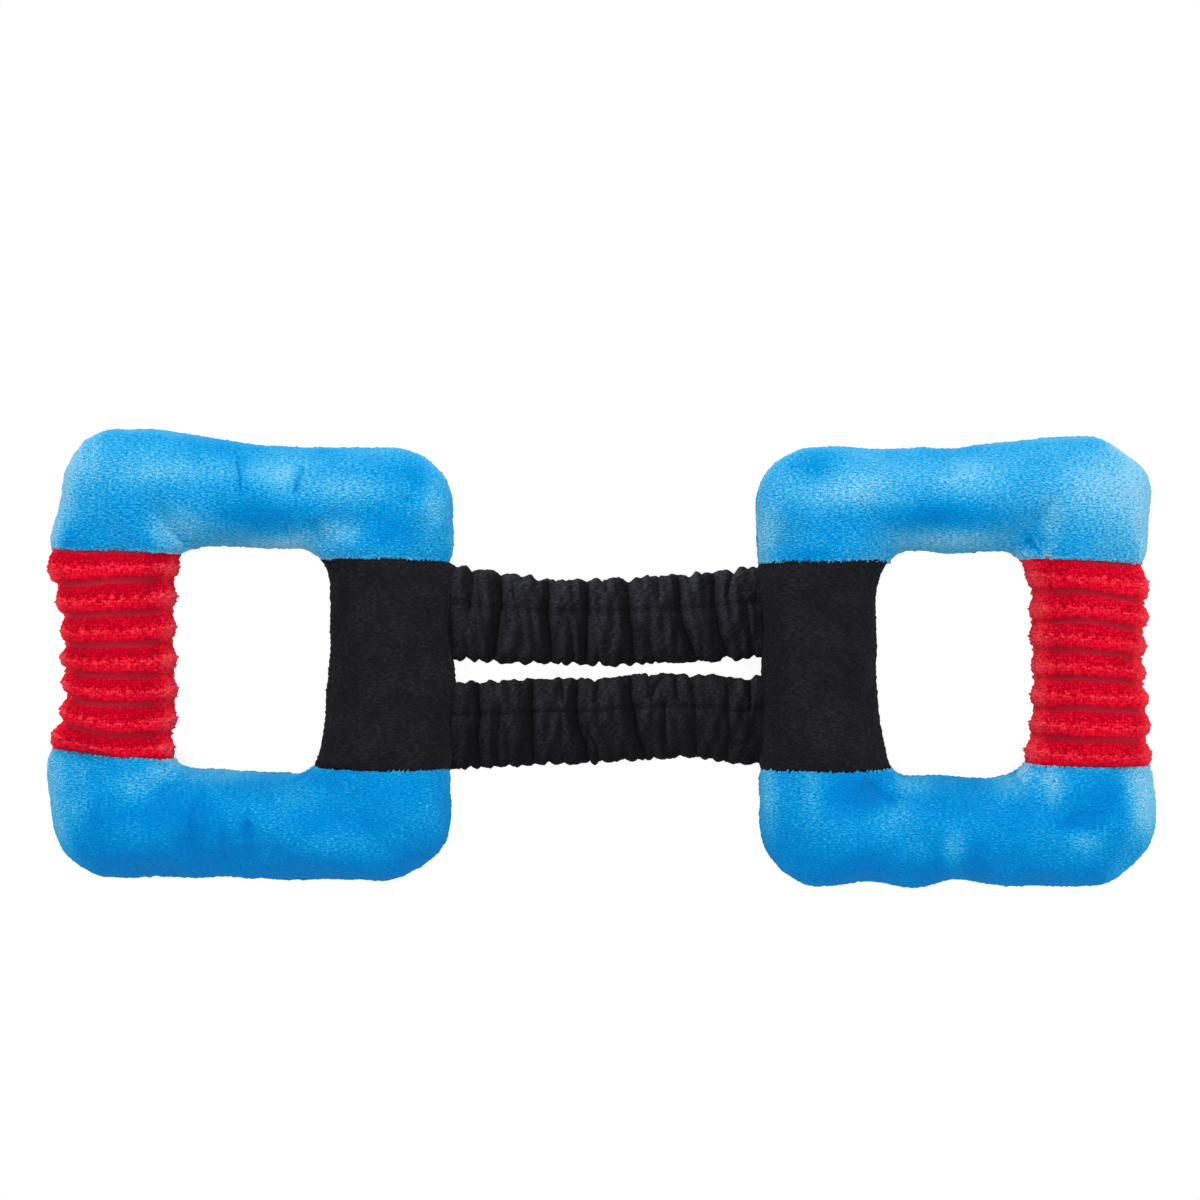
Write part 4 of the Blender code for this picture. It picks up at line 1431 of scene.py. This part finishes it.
@dataclass
class Strap:
    """A gathered plush sleeve over a flat elastic, with a line of stitches along it.

    Attributes:
        level: Upper or lower.
        upper_edge: Points of X and Y along its upper edge, in mm.
        lower_edge: Points of X and Y along its lower edge.
        folds: Valleys between the gathers of the front.
        seed: Picks the fuzz and the back's valleys.
        tone: How much lighter its cloth is painted all over.
        columns: Slices along the strap.
        rows: Points round it.
        width: Its rough width in mm, which turns a share across it into a distance.
        thickness: Its thickness in the middle.
        end_thickness: Its thickness at the seams.
        wall: Thickness of the cloth.
        stitch_share: Where the stitches run, as a share from the upper edge to the lower.
        gather: Length of flat cloth for each mm of strap.
        flat_width: Not used.
        elastic_width: Width of the elastic.
        elastic_thickness: Its thickness.
        elastic_tail: Its length inside each handle.
        stitch_pitch: Distance from one stitch to the next.
        stitch_radius: Radius of the thread.
        stitch_form: A stitch's length, width and height, as multiples of the thread's.
        zones: How many stretches the strap is cut into.
        tuck: How far the sleeve goes on inside each handle's seam.
        swell: How far the gathers stand out over the two edges.
        back_folds: Number of valleys in the back.
        back_reach: Distance of the first and last of them from the middle.
    """

    level: str
    upper_edge: Line
    lower_edge: Line
    folds: tuple[Fold, ...]
    seed: int
    tone: float = 0.08
    columns: int = 248
    rows: int = 112
    width: float = 35.0
    thickness: float = 14.0
    end_thickness: float = 7.5
    wall: float = 1.4
    stitch_share: float = 0.38
    gather: float = 1.4
    flat_width: float = 92.0
    elastic_width: float = 24.96
    elastic_thickness: float = 1.3
    elastic_tail: float = 12.0
    stitch_pitch: float = 3.1
    stitch_radius: float = 0.3
    stitch_form: tuple[float, float, float] = (4.2, 1, 0.8)
    zones: int = 4
    tuck: float = 4.0
    swell: float = 1.1
    back_folds: int = 14
    back_reach: float = 59.0

    def edge(self, line: Line, x: np.ndarray) -> np.ndarray:
        """Draws a smooth edge through a few measured points.

        Args:
            line: X and Y of those points, in mm.
            x: Where to read the edge.

        Returns:
            Its Y at each x.
        """
        places = np.array(line)
        fine = np.interp(x, places[:, 0], places[:, 1])
        kernel = np.hanning(31)
        padded = np.pad(fine, 15, mode="edge")
        return np.convolve(padded, kernel / kernel.sum(), mode="valid")

    def sleeve(self) -> Shell:
        """Makes the whole gathered sleeve.

        Returns:
            Its shell, from one handle to the other.
        """
        share = np.linspace(0, 1, self.columns + 1)
        x = TOY_MIDDLE[0] + (share - 0.5) * STRAP_LENGTH
        x[0] -= self.tuck
        x[-1] += self.tuck
        top = self.edge(self.upper_edge, x) - self.swell
        bottom = self.edge(self.lower_edge, x) + self.swell
        full = 1 - np.abs(2 * share - 1) ** 7
        height = mix(self.end_thickness, self.thickness, full) / 2
        turn = math.tau * np.arange(self.rows) / self.rows
        cosine, sine = np.cos(turn), np.sin(turn)
        across = (1 - np.sign(cosine) * np.abs(cosine) ** 0.75) / 2
        rise = np.sign(sine) * np.abs(sine) ** 0.7
        y = top[:, None] + (bottom - top)[:, None] * across[None, :]
        z = TOY_MIDDLE[2] + height[:, None] * rise[None, :]
        points = np.stack([np.repeat(x[:, None], self.rows, 1), y, z], axis=-1)
        walked = np.cumsum(np.linalg.norm(points - np.roll(points, 1, 1), axis=2), axis=1)
        flat = np.stack([points[..., 0] * self.gather, walked], axis=-1)
        shell = Shell(f"{self.level}_sleeve", points, flat)
        self.gathers(shell, np.broadcast_to(across, y.shape), np.broadcast_to(rise, y.shape))
        return shell

    def gathers(self, shell: Shell, across: np.ndarray, rise: np.ndarray) -> None:
        """Presses the valleys between gathers and the channel that the stitches pull in, and
        paints light and shade into the cloth's tone.

        Args:
            shell: The smooth sleeve.
            across: Share of each point from the upper edge to the lower.
            rise: Height of each point, from -1 at the back to 1 at the front.
        """
        x = shell.points[..., 0]
        spots = np.stack([x, across * self.width], axis=-1)
        front, back = (smooth(way * rise * 1.2 + 0.6) * mix(0.62, 1, np.abs(rise))
                       for way in (1, -1))
        press = np.zeros(x.shape)
        for fold in self.folds:
            press = self.valley(fold, spots, press, front)
        rng = np.random.default_rng(self.seed)
        for step in range(self.back_folds):
            place = step + rng.uniform(-0.25, 0.25)
            at = 2 * self.back_reach * place / (self.back_folds - 1) - self.back_reach
            drift = rng.uniform(-3, 3)
            fold = Fold(((at, 0.0), (at + drift, 0.5), (at - drift / 2, 1.0)),
                        rng.uniform(2.4, 4.4))
            press = self.valley(fold, spots, press, back)
        edge = smooth(1.25 - 1.6 * np.abs(rise))
        wander = 0.35 * ripples(spots * (1, 0.02), 20, self.seed + 6)
        lobes = 1 - np.abs(np.sin(math.pi * (x / 6.4 + wander + 0.37 * (across > 0.5)))) ** 0.6
        swing = 0.75 + 0.5 * ripples(spots * (1, 0.02), 13, self.seed + 8)
        press = mix(press, 0.3 * press + 1.4 * lobes * np.clip(swing, 0, 1.3), edge)
        from_stitches = np.abs(across - self.stitch_share) * self.width
        channel = 1.1 * np.exp(-from_stitches ** 1.6) * front
        soft = 0.3 * ripples(spots * (1, 0.3), 5, self.seed + 3)
        fuzz = (0.1 + 0.04 * edge) * ripples(shell.points, 1.8, self.seed + 4, 24)
        shell.push(self.swell + 0.5 * np.abs(rise) + soft + fuzz - press - channel)
        # Painted light and shade in the tone: sides that face -X and +Y come out lighter, as if
        # lit from there; it grows darker towards the lower edge, and painted shade darkens the
        # valleys and the stitch channel
        normal = shell.normals()
        shell.tones["nap_and_painted_light"] = (self.tone - 0.5 * normal[..., 0] + 0.15 * normal[..., 1]
                                  - 0.2 * (across - 0.4) - 0.1 * press - 0.06 * channel)

    def valley(self, fold: Fold, spots: np.ndarray, press: np.ndarray,
               weight: np.ndarray) -> np.ndarray:
        """Adds one valley, without doubling up where it meets another.

        Args:
            fold: The valley.
            spots: X of each point, and its distance from the upper edge, in mm.
            press: How far each point is pressed in before it.
            weight: Share of its depth that each point takes.

        Returns:
            How far each point is pressed in with it.
        """
        path = np.array([(x, share * self.width) for x, share in fold.path])
        away, _ = to_path(spots, path)
        near = np.clip(1 - away / fold.width, 0, 1)
        round_side = 0.75 * (1 - np.sqrt(1 - near ** 2)) + 0.25 * near ** 2
        return np.maximum(press, fold.depth * round_side * weight)

    def zone_ends(self) -> list[float]:
        """Returns the X of the ends of the stretches, in mm."""
        return [TOY_MIDDLE[0] + STRAP_LENGTH * (step / self.zones - 0.5)
                for step in range(self.zones + 1)]

    def spread_over_joints(self, obj: bpy.types.Object) -> None:
        """Bakes a piece's place into its mesh.

        Args:
            obj: The piece.
        """
        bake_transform(obj)

    def declare(self, obj: bpy.types.Object, finish: bpy.types.Material, slot: str, node: str,
                zone: int) -> None:
        """Dresses a stretch of the strap, hides the CAD node that it replaces, bakes its place
        into its mesh, and reports it.

        Args:
            obj: The piece.
            finish: Its material.
            slot: Not used.
            node: The CAD node that it replaces, less the strap's level.
            zone: Not used.
        """
        obj.data.materials.append(finish)
        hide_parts(f"{self.level}_{node}")
        self.spread_over_joints(obj)
        report(obj)

    def build(self) -> None:
        shell = self.sleeve()
        step = self.columns // self.zones
        for zone in range(self.zones):
            part = shell.part(f"{self.level}_sleeve_zone_{zone + 1}", zone * step,
                              (zone + 1) * step)
            obj = part.tube(self.wall)
            self.declare(obj, BLACK, "black_plush", "sleeve", zone)
            self.elastic(zone)
            self.stitches(shell, zone)

    def middle_y(self) -> float:
        """Y of the elastic's middle line."""
        low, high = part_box(f"{self.level}_elastic")
        return (low.y + high.y) / 2 / MM

    def elastic(self, zone: int) -> None:
        """Makes one stretch of the flat elastic that runs inside the sleeve.

        Args:
            zone: Which stretch, from 0 at the left.
        """
        ends = self.zone_ends()
        start = ends[zone] - (self.elastic_tail if zone == 0 else 0)
        stop = ends[zone + 1] + (self.elastic_tail if zone == self.zones - 1 else 0)
        x = np.linspace(start, stop, 41)
        turn = math.tau * (np.arange(24) + 0.5) / 24
        y = self.middle_y() - self.elastic_width / 2 * np.sign(np.cos(turn)) * np.abs(
            np.cos(turn)) ** 0.4
        z = TOY_MIDDLE[2] + self.elastic_thickness / 2 * np.sin(turn)
        points = np.stack(np.broadcast_arrays(x[:, None], y, z), axis=-1)
        shell = Shell(f"{self.level}_elastic_zone_{zone + 1}", points, points[..., :2])
        obj = shell.solid()
        self.declare(obj, WEBBING, "black_elastic", "elastic", zone)

    def stitches(self, shell: Shell, zone: int) -> None:
        """Makes one stretch of the row of stitches that lies in the sleeve's channel.

        Args:
            shell: The whole sleeve.
            zone: Which stretch, from 0 at the left.
        """
        step = self.columns // self.zones
        row = int(np.argmin(np.abs(shell.points[self.columns // 2, :self.rows // 2, 1]
                                   - self.stitch_y(shell))))
        out = shell.normals()[zone * step:(zone + 1) * step + 1, row]
        line = shell.points[zone * step:(zone + 1) * step + 1, row] - 0.2 * out
        bpy.ops.object.select_all(action='DESELECT')
        bpy.ops.mesh.primitive_uv_sphere_add(segments=8, ring_count=6,
                                             radius=self.stitch_radius * MM)
        stitch = bpy.context.object
        bpy.ops.object.mode_set(mode='EDIT')
        bpy.ops.mesh.select_all(action='SELECT')
        bpy.ops.transform.resize(value=self.stitch_form)
        bpy.ops.object.mode_set(mode='OBJECT')
        obj = repeated(f"{self.level}_stitches_zone_{zone + 1}", stitch, line, out,
                       self.stitch_pitch)
        self.declare(obj, THREAD, "black_thread", "stitch_row", zone)

    def stitch_y(self, shell: Shell) -> float:
        """Y of the line of stitches at the strap's middle."""
        across = shell.points[self.columns // 2, :, 1]
        return mix(across.max(), across.min(), self.stitch_share)


# Studio


@dataclass(frozen=True)
class Studio:
    """Pale floor, soft lamps and the camera straight above, as in the photograph.

    Attributes:
        height: Height of the camera over the floor, in metres.
        view_width: Width of what it sees at the toy's middle height, in metres.
        sensor: Width of its sensor, in mm.
        middle: X and Y of the view's middle, in metres.
        sky: Strength of the even light from all around.
        shadow: How much the floor darkens where the toy covers it.
        shadow_start: Share of the floor's sky that is left open where that starts.
        shadow_reach: How far over the floor the toy counts for that, in metres.
        lamps: Name, place in metres, width in metres and power in watts of each lamp.
    """

    height: float = CAMERA_HEIGHT
    sky: float = 0.42
    shadow: float = 0.75
    shadow_start: float = 0.4
    shadow_reach: float = 0.021
    view_width: float = 0.48
    sensor: float = 36.0
    middle: tuple[float, float] = CAMERA_MIDDLE
    lamps: tuple[tuple[str, tuple[float, float, float], float, float], ...] = (
        ("key", (-0.25, 0.7, 1.3), 1.0, 10.5),
        ("back", (0.1, 1.35, 0.7), 0.9, 12.0),
        ("front", (0.2, -1.1, 0.7), 0.9, 6.5),
        ("left_side", (-1.2, 0.0, 0.6), 0.8, 5.0),
        ("right_side", (1.2, 0.0, 0.6), 0.8, 6.0))

    def camera(self) -> None:
        """Puts the camera over the toy, looking straight down with +Y up."""
        data = bpy.data.cameras.new("camera")
        data.sensor_width = self.sensor
        data.lens = self.sensor * (self.height - TOY_MIDDLE[2] * MM) / self.view_width
        data.clip_start, data.clip_end = 0.05, 20.0
        obj = bpy.data.objects.new("camera", data)
        obj.location = (*self.middle, self.height)
        bpy.context.scene.collection.objects.link(obj)
        bpy.context.scene.camera = obj

    def lamp(self, name: str, place: tuple[float, float, float], size: float,
             power: float) -> None:
        """Adds a soft square lamp that faces the toy.

        Args:
            name: Its name.
            place: Where it stands, in metres.
            size: Its width, in metres.
            power: Its power, in watts.
        """
        data = bpy.data.lights.new(name, 'AREA')
        data.size = size
        data.energy = power
        obj = bpy.data.objects.new(name, data)
        obj.location = place
        direction = -np.array(place)
        flat = math.hypot(direction[0], direction[1])
        obj.rotation_euler = (math.atan2(flat, -direction[2]), 0,
                              math.atan2(-direction[0], direction[1]) if flat else 0)
        bpy.context.scene.collection.objects.link(obj)

    def lights(self) -> None:
        """Adds the lamps and an even sky, which is plain white to the camera."""
        for lamp in self.lamps:
            self.lamp(*lamp)
        world = bpy.data.worlds.new("even_sky")
        world.use_nodes = True
        tree = world.node_tree
        tree.nodes.clear()
        strength = add_node(tree, "MapRange", {
            "Value": self.seen_ray(tree), "To Min": self.sky, "To Max": 1.0})
        sky = add_node(tree, "Background", {"Color": linear("#ffffff"), "Strength": strength})
        add_node(tree, "OutputWorld", {"Surface": sky})
        bpy.context.scene.world = world

    def seen_ray(self, tree: bpy.types.NodeTree) -> bpy.types.Node:
        """Adds nodes that tell what is seen from what is only lit.

        Args:
            tree: The node tree.

        Returns:
            A node that gives 1 to rays of the camera, of reflections and through glass.
        """
        path = add_node(tree, "LightPath")
        seen_or_glossy = add_node(tree, "Math", {
            0: path.outputs["Is Camera Ray"], 1: path.outputs["Is Glossy Ray"]},
            operation='MAXIMUM')
        return add_node(tree, "Math", {
            0: seen_or_glossy, 1: path.outputs["Is Transmission Ray"]}, operation='MAXIMUM')

    def floor(self) -> None:
        """Makes the white floor, which bounces light and carries the toy's shadow.

        Seen directly it is clear apart from the shadow, and the white sky shows through it,
        so a toy that a pose folds below it stays in view. Light from above reaches that part
        too, because shadow rays that come up from below pass.
        """
        bpy.ops.object.select_all(action='DESELECT')
        bpy.ops.mesh.primitive_plane_add(size=8, location=(0, 0, 0))
        obj = bpy.context.object
        obj.name = "floor"
        material = bpy.data.materials.new("white_floor")
        material.use_nodes = True
        tree = material.node_tree
        tree.nodes.clear()
        covered = add_node(tree, "AmbientOcclusion", {
            "Distance": self.shadow_reach, "Normal": (0.0, 0.0, 1.0)})
        dimmed = add_node(tree, "MapRange", {
            "Value": covered.outputs["AO"], "From Max": self.shadow_start,
            "To Min": 1 - self.shadow, "To Max": 1.0})
        clear = add_node(tree, "BsdfTransparent", {"Color": dimmed})
        lit = add_node(tree, "BsdfPrincipled", {
            "Base Color": (0.8, 0.8, 0.8, 1), "Roughness": 1.0, "Specular IOR Level": 0.0})
        path = add_node(tree, "LightPath")
        side = add_node(tree, "NewGeometry")
        from_below = add_node(tree, "Math", {
            0: path.outputs["Is Shadow Ray"], 1: side.outputs["Backfacing"]},
            operation='MULTIPLY')
        through = add_node(tree, "Math", {0: self.seen_ray(tree), 1: from_below},
                           operation='MAXIMUM')
        surface = add_node(tree, "MixShader", {0: through, 1: lit, 2: clear})
        add_node(tree, "OutputMaterial", {"Surface": surface})
        obj.data.materials.append(material)

    def build(self) -> None:
        """Makes the camera, lamps and floor."""
        bpy.context.scene.view_settings.view_transform = 'Standard'
        self.camera()
        self.lights()
        self.floor()


BLUE, BLACK, RED, WEBBING, THREAD, FIBRE = (
    finish.material() for finish in (
        BLUE_PLUSH, BLACK_PLUSH, RED_TERRY, BLACK_ELASTIC, BLACK_THREAD, WHITE_FIBRE))


def dress_hidden_nodes() -> None:
    """Gives the CAD pieces that stay, all inside the toy, their own finishes."""
    finishes = {"squeaker": SQUEAKER_PLASTIC.material(), "tack": THREAD}
    for name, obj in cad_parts.items():
        for word, material in finishes.items():
            if word in name:
                for slot in obj.material_slots:
                    slot.material = material
                report(obj)


def main() -> None:
    """Builds the toy and its studio."""
    logging.basicConfig(level=logging.INFO, format="%(name)s: %(message)s")
    Studio().build()
    for assembly in (LEFT, RIGHT, UPPER, LOWER):
        assembly.build()
    dress_hidden_nodes()


LEFT = Handle(
    Side.LEFT, -1.9, seed=11,
    groove_inner=(0.0, 0.06, 0.03, 0.0, -0.07, -0.06, -0.12, 0.0),
    groove_outer=(0.0, -0.28, -0.32, -0.28, -0.1, 0.07, 0.2, 0.0),
    groove_bow=(0.0, 0.04, -0.02, -0.03, -0.09, -0.14, -0.2, 0.0),
    nudges=(
        Nudge(-208, -84, 10, 1.2, 1.0), Nudge(-175, 91, 16, 0, 2.0),
        Nudge(-205, 86, 12, -0.6, 0.6), Nudge(-220, 72, 24, 4.0, 0), Nudge(-221, 40, 18, -0.8, 0),
        Nudge(-222, 5, 22, 2.4, 0), Nudge(-223, -22, 18, 3.8, 0), Nudge(-223, -45, 18, 1.0, 0),
        Nudge(-171, 22, 24, 1.0, 0), Nudge(-171, -22, 22, 2.2, 0), Nudge(-221, -70, 20, 4.0, 0),
        Nudge(-120, 85, 24, 0, -2.4), Nudge(-72, 78, 20, 0, 0.2), Nudge(-110, -86, 60, 0, 0.3),
        Nudge(-222, -42, 14, 0, 2.5), Nudge(-61, -8, 20, 2.8, 0), Nudge(-61, -42, 22, 3.2, 0),
        Nudge(-61, -72, 20, 2.2, 0), Nudge(-72, -84, 14, -1.0, 0.8),
        Nudge(-112, 41, 9, -2.2, -0.8), Nudge(-113, -41, 10, -2.2, -0.8),
    ),
    brushes=(
        Brush(-172, 75, 32, 6, 0.3), Brush(-126.8, 73, 10, 8, 0.3),
        Brush(-168.8, 53.8, 10, 7, 0.3), Brush(-126, 46, 16, 4, 0.35),
        Brush(-139, 58, 18, 5, -0.15), Brush(-101.6, 67.5, 20, 6, 0.32),
        Brush(-106.8, 51, 14, 5, 0.35), Brush(-89, 51, 9, 6, -0.15), Brush(-67, 62, 5, 13, 0.3),
        Brush(-73, 74, 7, 6, -0.2), Brush(-130, 88, 60, 5, -0.12), Brush(-186.8, -51, 8, 7, 0.28),
        Brush(-158, -46, 20, 4, 0.2), Brush(-160, -61, 12, 8, -0.12),
        Brush(-121.6, -57, 12, 6, 0.12), Brush(-182, -62, 14, 6, -0.12),
        # The narrow dark brushes on this line and the next lie along creases: painted shade
        Brush(-207, -68, 14, 16, -0.2), Brush(-163.5, -74, 2.2, 9, -0.22),
        Brush(-141.8, -70, 1.8, 7, -0.25), Brush(-152, -72, 1.8, 8, -0.12),
        Brush(-99, -66, 20, 7, -0.14),
    ),
    creases=(
        Crease(((-146.6, 82), (-144.8, 73.5), (-144.9, 64)), 2.0, 0.8),
        Crease(((-120, 78), (-122.1, 69.8), (-123.4, 64)), 2.2, 0.9),
        Crease(((-78.4, 65.4), (-77.6, 61.4)), 1.0, 1.0),
        Crease(((-118, 56.6), (-110.8, 43.8)), 1.5, 2.6),
        Crease(((-159.2, -53.4), (-164.8, -64.6), (-164.8, -79.8)), 1.6, 1.3),
        Crease(((-142.2, -64.6), (-142.2, -73.8)), 1.4, 1.0),
        Crease(((-152, -76), (-150, -84)), 1.2, 1.2),
    ),
)

RIGHT = Handle(
    Side.RIGHT, 0.75, seed=23, upper_tone=-0.4,
    groove_inner=(0.0, -0.13, -0.15, -0.08, 0.0, -0.05, -0.03, 0.0),
    groove_outer=(0.0, -0.4, -0.36, -0.3, -0.08, 0.0, -0.03, 0.0),
    groove_bow=(0.0, 0.1, 0.15, 0.12, 0.1, 0.06, 0.02, 0.0),
    nudges=(
        Nudge(212, -84, 12, -1.6, 1.6), Nudge(210, 86, 12, -1.4, -0.8),
        Nudge(179, 92, 14, 0, 1.0), Nudge(150, -88, 60, 0, -1.0), Nudge(139, 88, 14, 0, -1.8),
        Nudge(141, -91, 12, 0, 1.6), Nudge(216, 70, 24, -2.4, 0), Nudge(219, 10, 30, -2.6, 0),
        Nudge(222, -50, 40, -1.6, 0), Nudge(222, 38, 22, 0, -2.4), Nudge(222, 0, 22, 0, -2.2),
        Nudge(222, -38, 22, 0, -1.2), Nudge(61, 0, 24, 1.6, 0), Nudge(111, 41, 11, 4.0, -0.6),
        Nudge(111, -41, 11, 4.0, 0), Nudge(84, 41, 18, 0, -1.6), Nudge(171, 42, 10, -3.2, 0),
        Nudge(172, -41, 12, -2.2, 1.4), Nudge(223, 40, 12, -3.0, 0), Nudge(200, -41, 16, 0, 1.0),
    ),
    brushes=(
        Brush(140, 64, 90, 30, 0.1), Brush(222, 62, 12, 30, 0.32), Brush(97, 67, 24, 8, 0.32),
        Brush(144, 71, 12, 8, 0.28), Brush(198, 68, 20, 14, 0.42), Brush(85, 76, 10, 7, -0.2),
        Brush(133, 83, 20, 5, -0.18), Brush(130, 58, 34, 5, -0.22), Brush(141, 47.6, 20, 4, 0.35),
        Brush(175, 46.6, 5, 4, -0.3), Brush(81, 41, 10, 4, -0.2), Brush(66, 50, 5, 14, 0.35),
        Brush(66, -52, 4, 18, 0.35), Brush(84, -52, 4, 12, 0.2), Brush(101, -54, 12, 8, -0.25),
        Brush(115, -64, 10, 8, 0.18), Brush(125, -51, 12, 4, 0.25), Brush(146, -52, 14, 6, -0.12),
        Brush(164.6, -48.6, 8, 7, 0.3), Brush(180.6, -52, 8, 8, 0.22),
        Brush(203, -57, 8, 10, -0.2), Brush(217, -52, 5, 10, 0.15),
        Brush(213, -76, 14, 11, -0.16), Brush(194, -73, 8, 5, 0.22),
        Brush(141, -76.6, 5, 8, 0.28), Brush(134, -82, 3, 8, -0.2), Brush(150, -82, 3.5, 8, -0.2),
        Brush(190, -66.5, 7, 2, -0.2),
    ),
    creases=(
        Crease(((177.2, 40.2), (169.2, 49)), 1.5, 1.4),
        Crease(((104, -47.8), (118.8, -59)), 1.5, 1.4),
        Crease(((162.8, -43), (169.2, -50.2)), 1.4, 1.2),
        Crease(((182, -68.6), (190, -62.8), (202, -62.6)), 1.2, 1.6),
        Crease(((138.8, 79), (139.4, 71)), 1.0, 1.2),
    ),
)

UPPER = Strap(
    "upper",
    upper_edge=((-63, 38.6), (-57, 37), (-41, 34.4), (-21, 31.8), (0, 32.2), (19, 33.2),
                (39, 34.2), (63, 37.2)),
    lower_edge=((-62, -0.6), (-45, -1.4), (-30, -1.9), (-5, -2.5), (5, -2.9), (20, -1.9),
                (40, -1.6), (63, 0)),
    folds=(
        Fold(((-61, 0), (-60.6, 0.5), (-59.2, 0.9)), 2.0),
        Fold(((-51.1, 0), (-51.7, 0.3), (-52.6, 0.43)), 2.6),
        Fold(((-40.1, 0), (-39.9, 0.35), (-41, 0.5), (-42.9, 1))),
        Fold(((-35.2, 0.1), (-35, 0.25)), 1.2, 3.0),
        Fold(((-26.1, 0.32), (-21.9, 0.5)), 1.2, 3.0),
        Fold(((-21.2, 0), (-21.5, 0.4), (-20.5, 0.7), (-20.1, 1))),
        Fold(((-13.1, 0.48), (-11.7, 0.7), (-11.2, 1)), 1.5),
        Fold(((-5.2, 0), (-5.6, 0.38), (-6.4, 0.7), (-6.1, 1))),
        Fold(((1.4, 0), (2, 0.15)), 1.5, 3.0),
        Fold(((10.2, 0), (11.1, 0.45), (12.1, 0.7), (12.5, 1))),
        Fold(((16.7, 0.6), (19, 0.75), (20.9, 1)), 1.8),
        Fold(((22.6, 0), (22.8, 0.28)), 1.9, 3.0),
        Fold(((30.7, 0), (31.1, 0.38), (32.5, 0.62), (37.7, 1))),
        Fold(((44.6, 0), (44.9, 0.38), (46.5, 0.65), (49.8, 1))),
        Fold(((52.1, 0), (49.8, 0.28)), 2.2, 3.0),
        Fold(((58.1, 0.4), (59.5, 1)), 1.6, 3.0),
    ),
    seed=5,
)

LOWER = Strap(
    "lower",
    upper_edge=((-62, -9.0), (-50, -9.2), (-35, -8.4), (-15, -7.6), (0, -8.0), (12, -5.8),
                (30, -6.2), (45, -6.5), (55, -8.0), (63, -6.2)),
    lower_edge=((-62, -44.4), (-40, -43.6), (-20, -42.2), (-10, -42.4), (10, -41.2),
                (36, -39.4), (50, -41.8), (63, -42.4)),
    folds=(
        Fold(((-61.5, 0), (-60.6, 1)), 2.0),
        Fold(((-56.4, 0.15), (-56.2, 0.3)), 1.2, 3.0),
        Fold(((-49.2, 0), (-48.9, 0.4), (-49.9, 0.7), (-48.5, 1))),
        Fold(((-40.1, 0.3), (-41, 0.6), (-41.2, 1)), 1.8),
        Fold(((-27.5, 0), (-28, 0.3), (-27.5, 0.6), (-27.5, 1))),
        Fold(((-15.6, 0), (-15, 0.25)), 1.5, 3.0),
        Fold(((-9.4, 0), (-10.3, 0.3), (-9.8, 0.52), (-6.6, 0.8), (-5.6, 1))),
        Fold(((-1.4, 0), (-2.4, 0.25)), 2.2, 3.0),
        Fold(((-5.6, 0.6), (-2.4, 0.8), (-1.4, 1)), 1.8, 3.0),
        Fold(((11.6, 0), (11.6, 0.25), (13, 0.45), (13.9, 0.7), (17.6, 1))),
        Fold(((20, 0.25), (21.4, 0.14), (24.2, 0.03)), 2.2, 3.0),
        Fold(((29.3, 0), (30.2, 0.27)), 1.9, 3.0),
        Fold(((25.1, 0.33), (25.3, 0.85)), 1.9, 3.0),
        Fold(((36.3, 0.1), (37.2, 0.38), (37.7, 1)), 2.0),
        Fold(((50.2, 0), (50.7, 0.5), (50.2, 1)), 1.8),
        Fold(((59.5, 0), (59.1, 0.38)), 2.2, 3.0),
    ),
    seed=9, tone=-0.03,
)


if __name__ == "__main__":
    main()
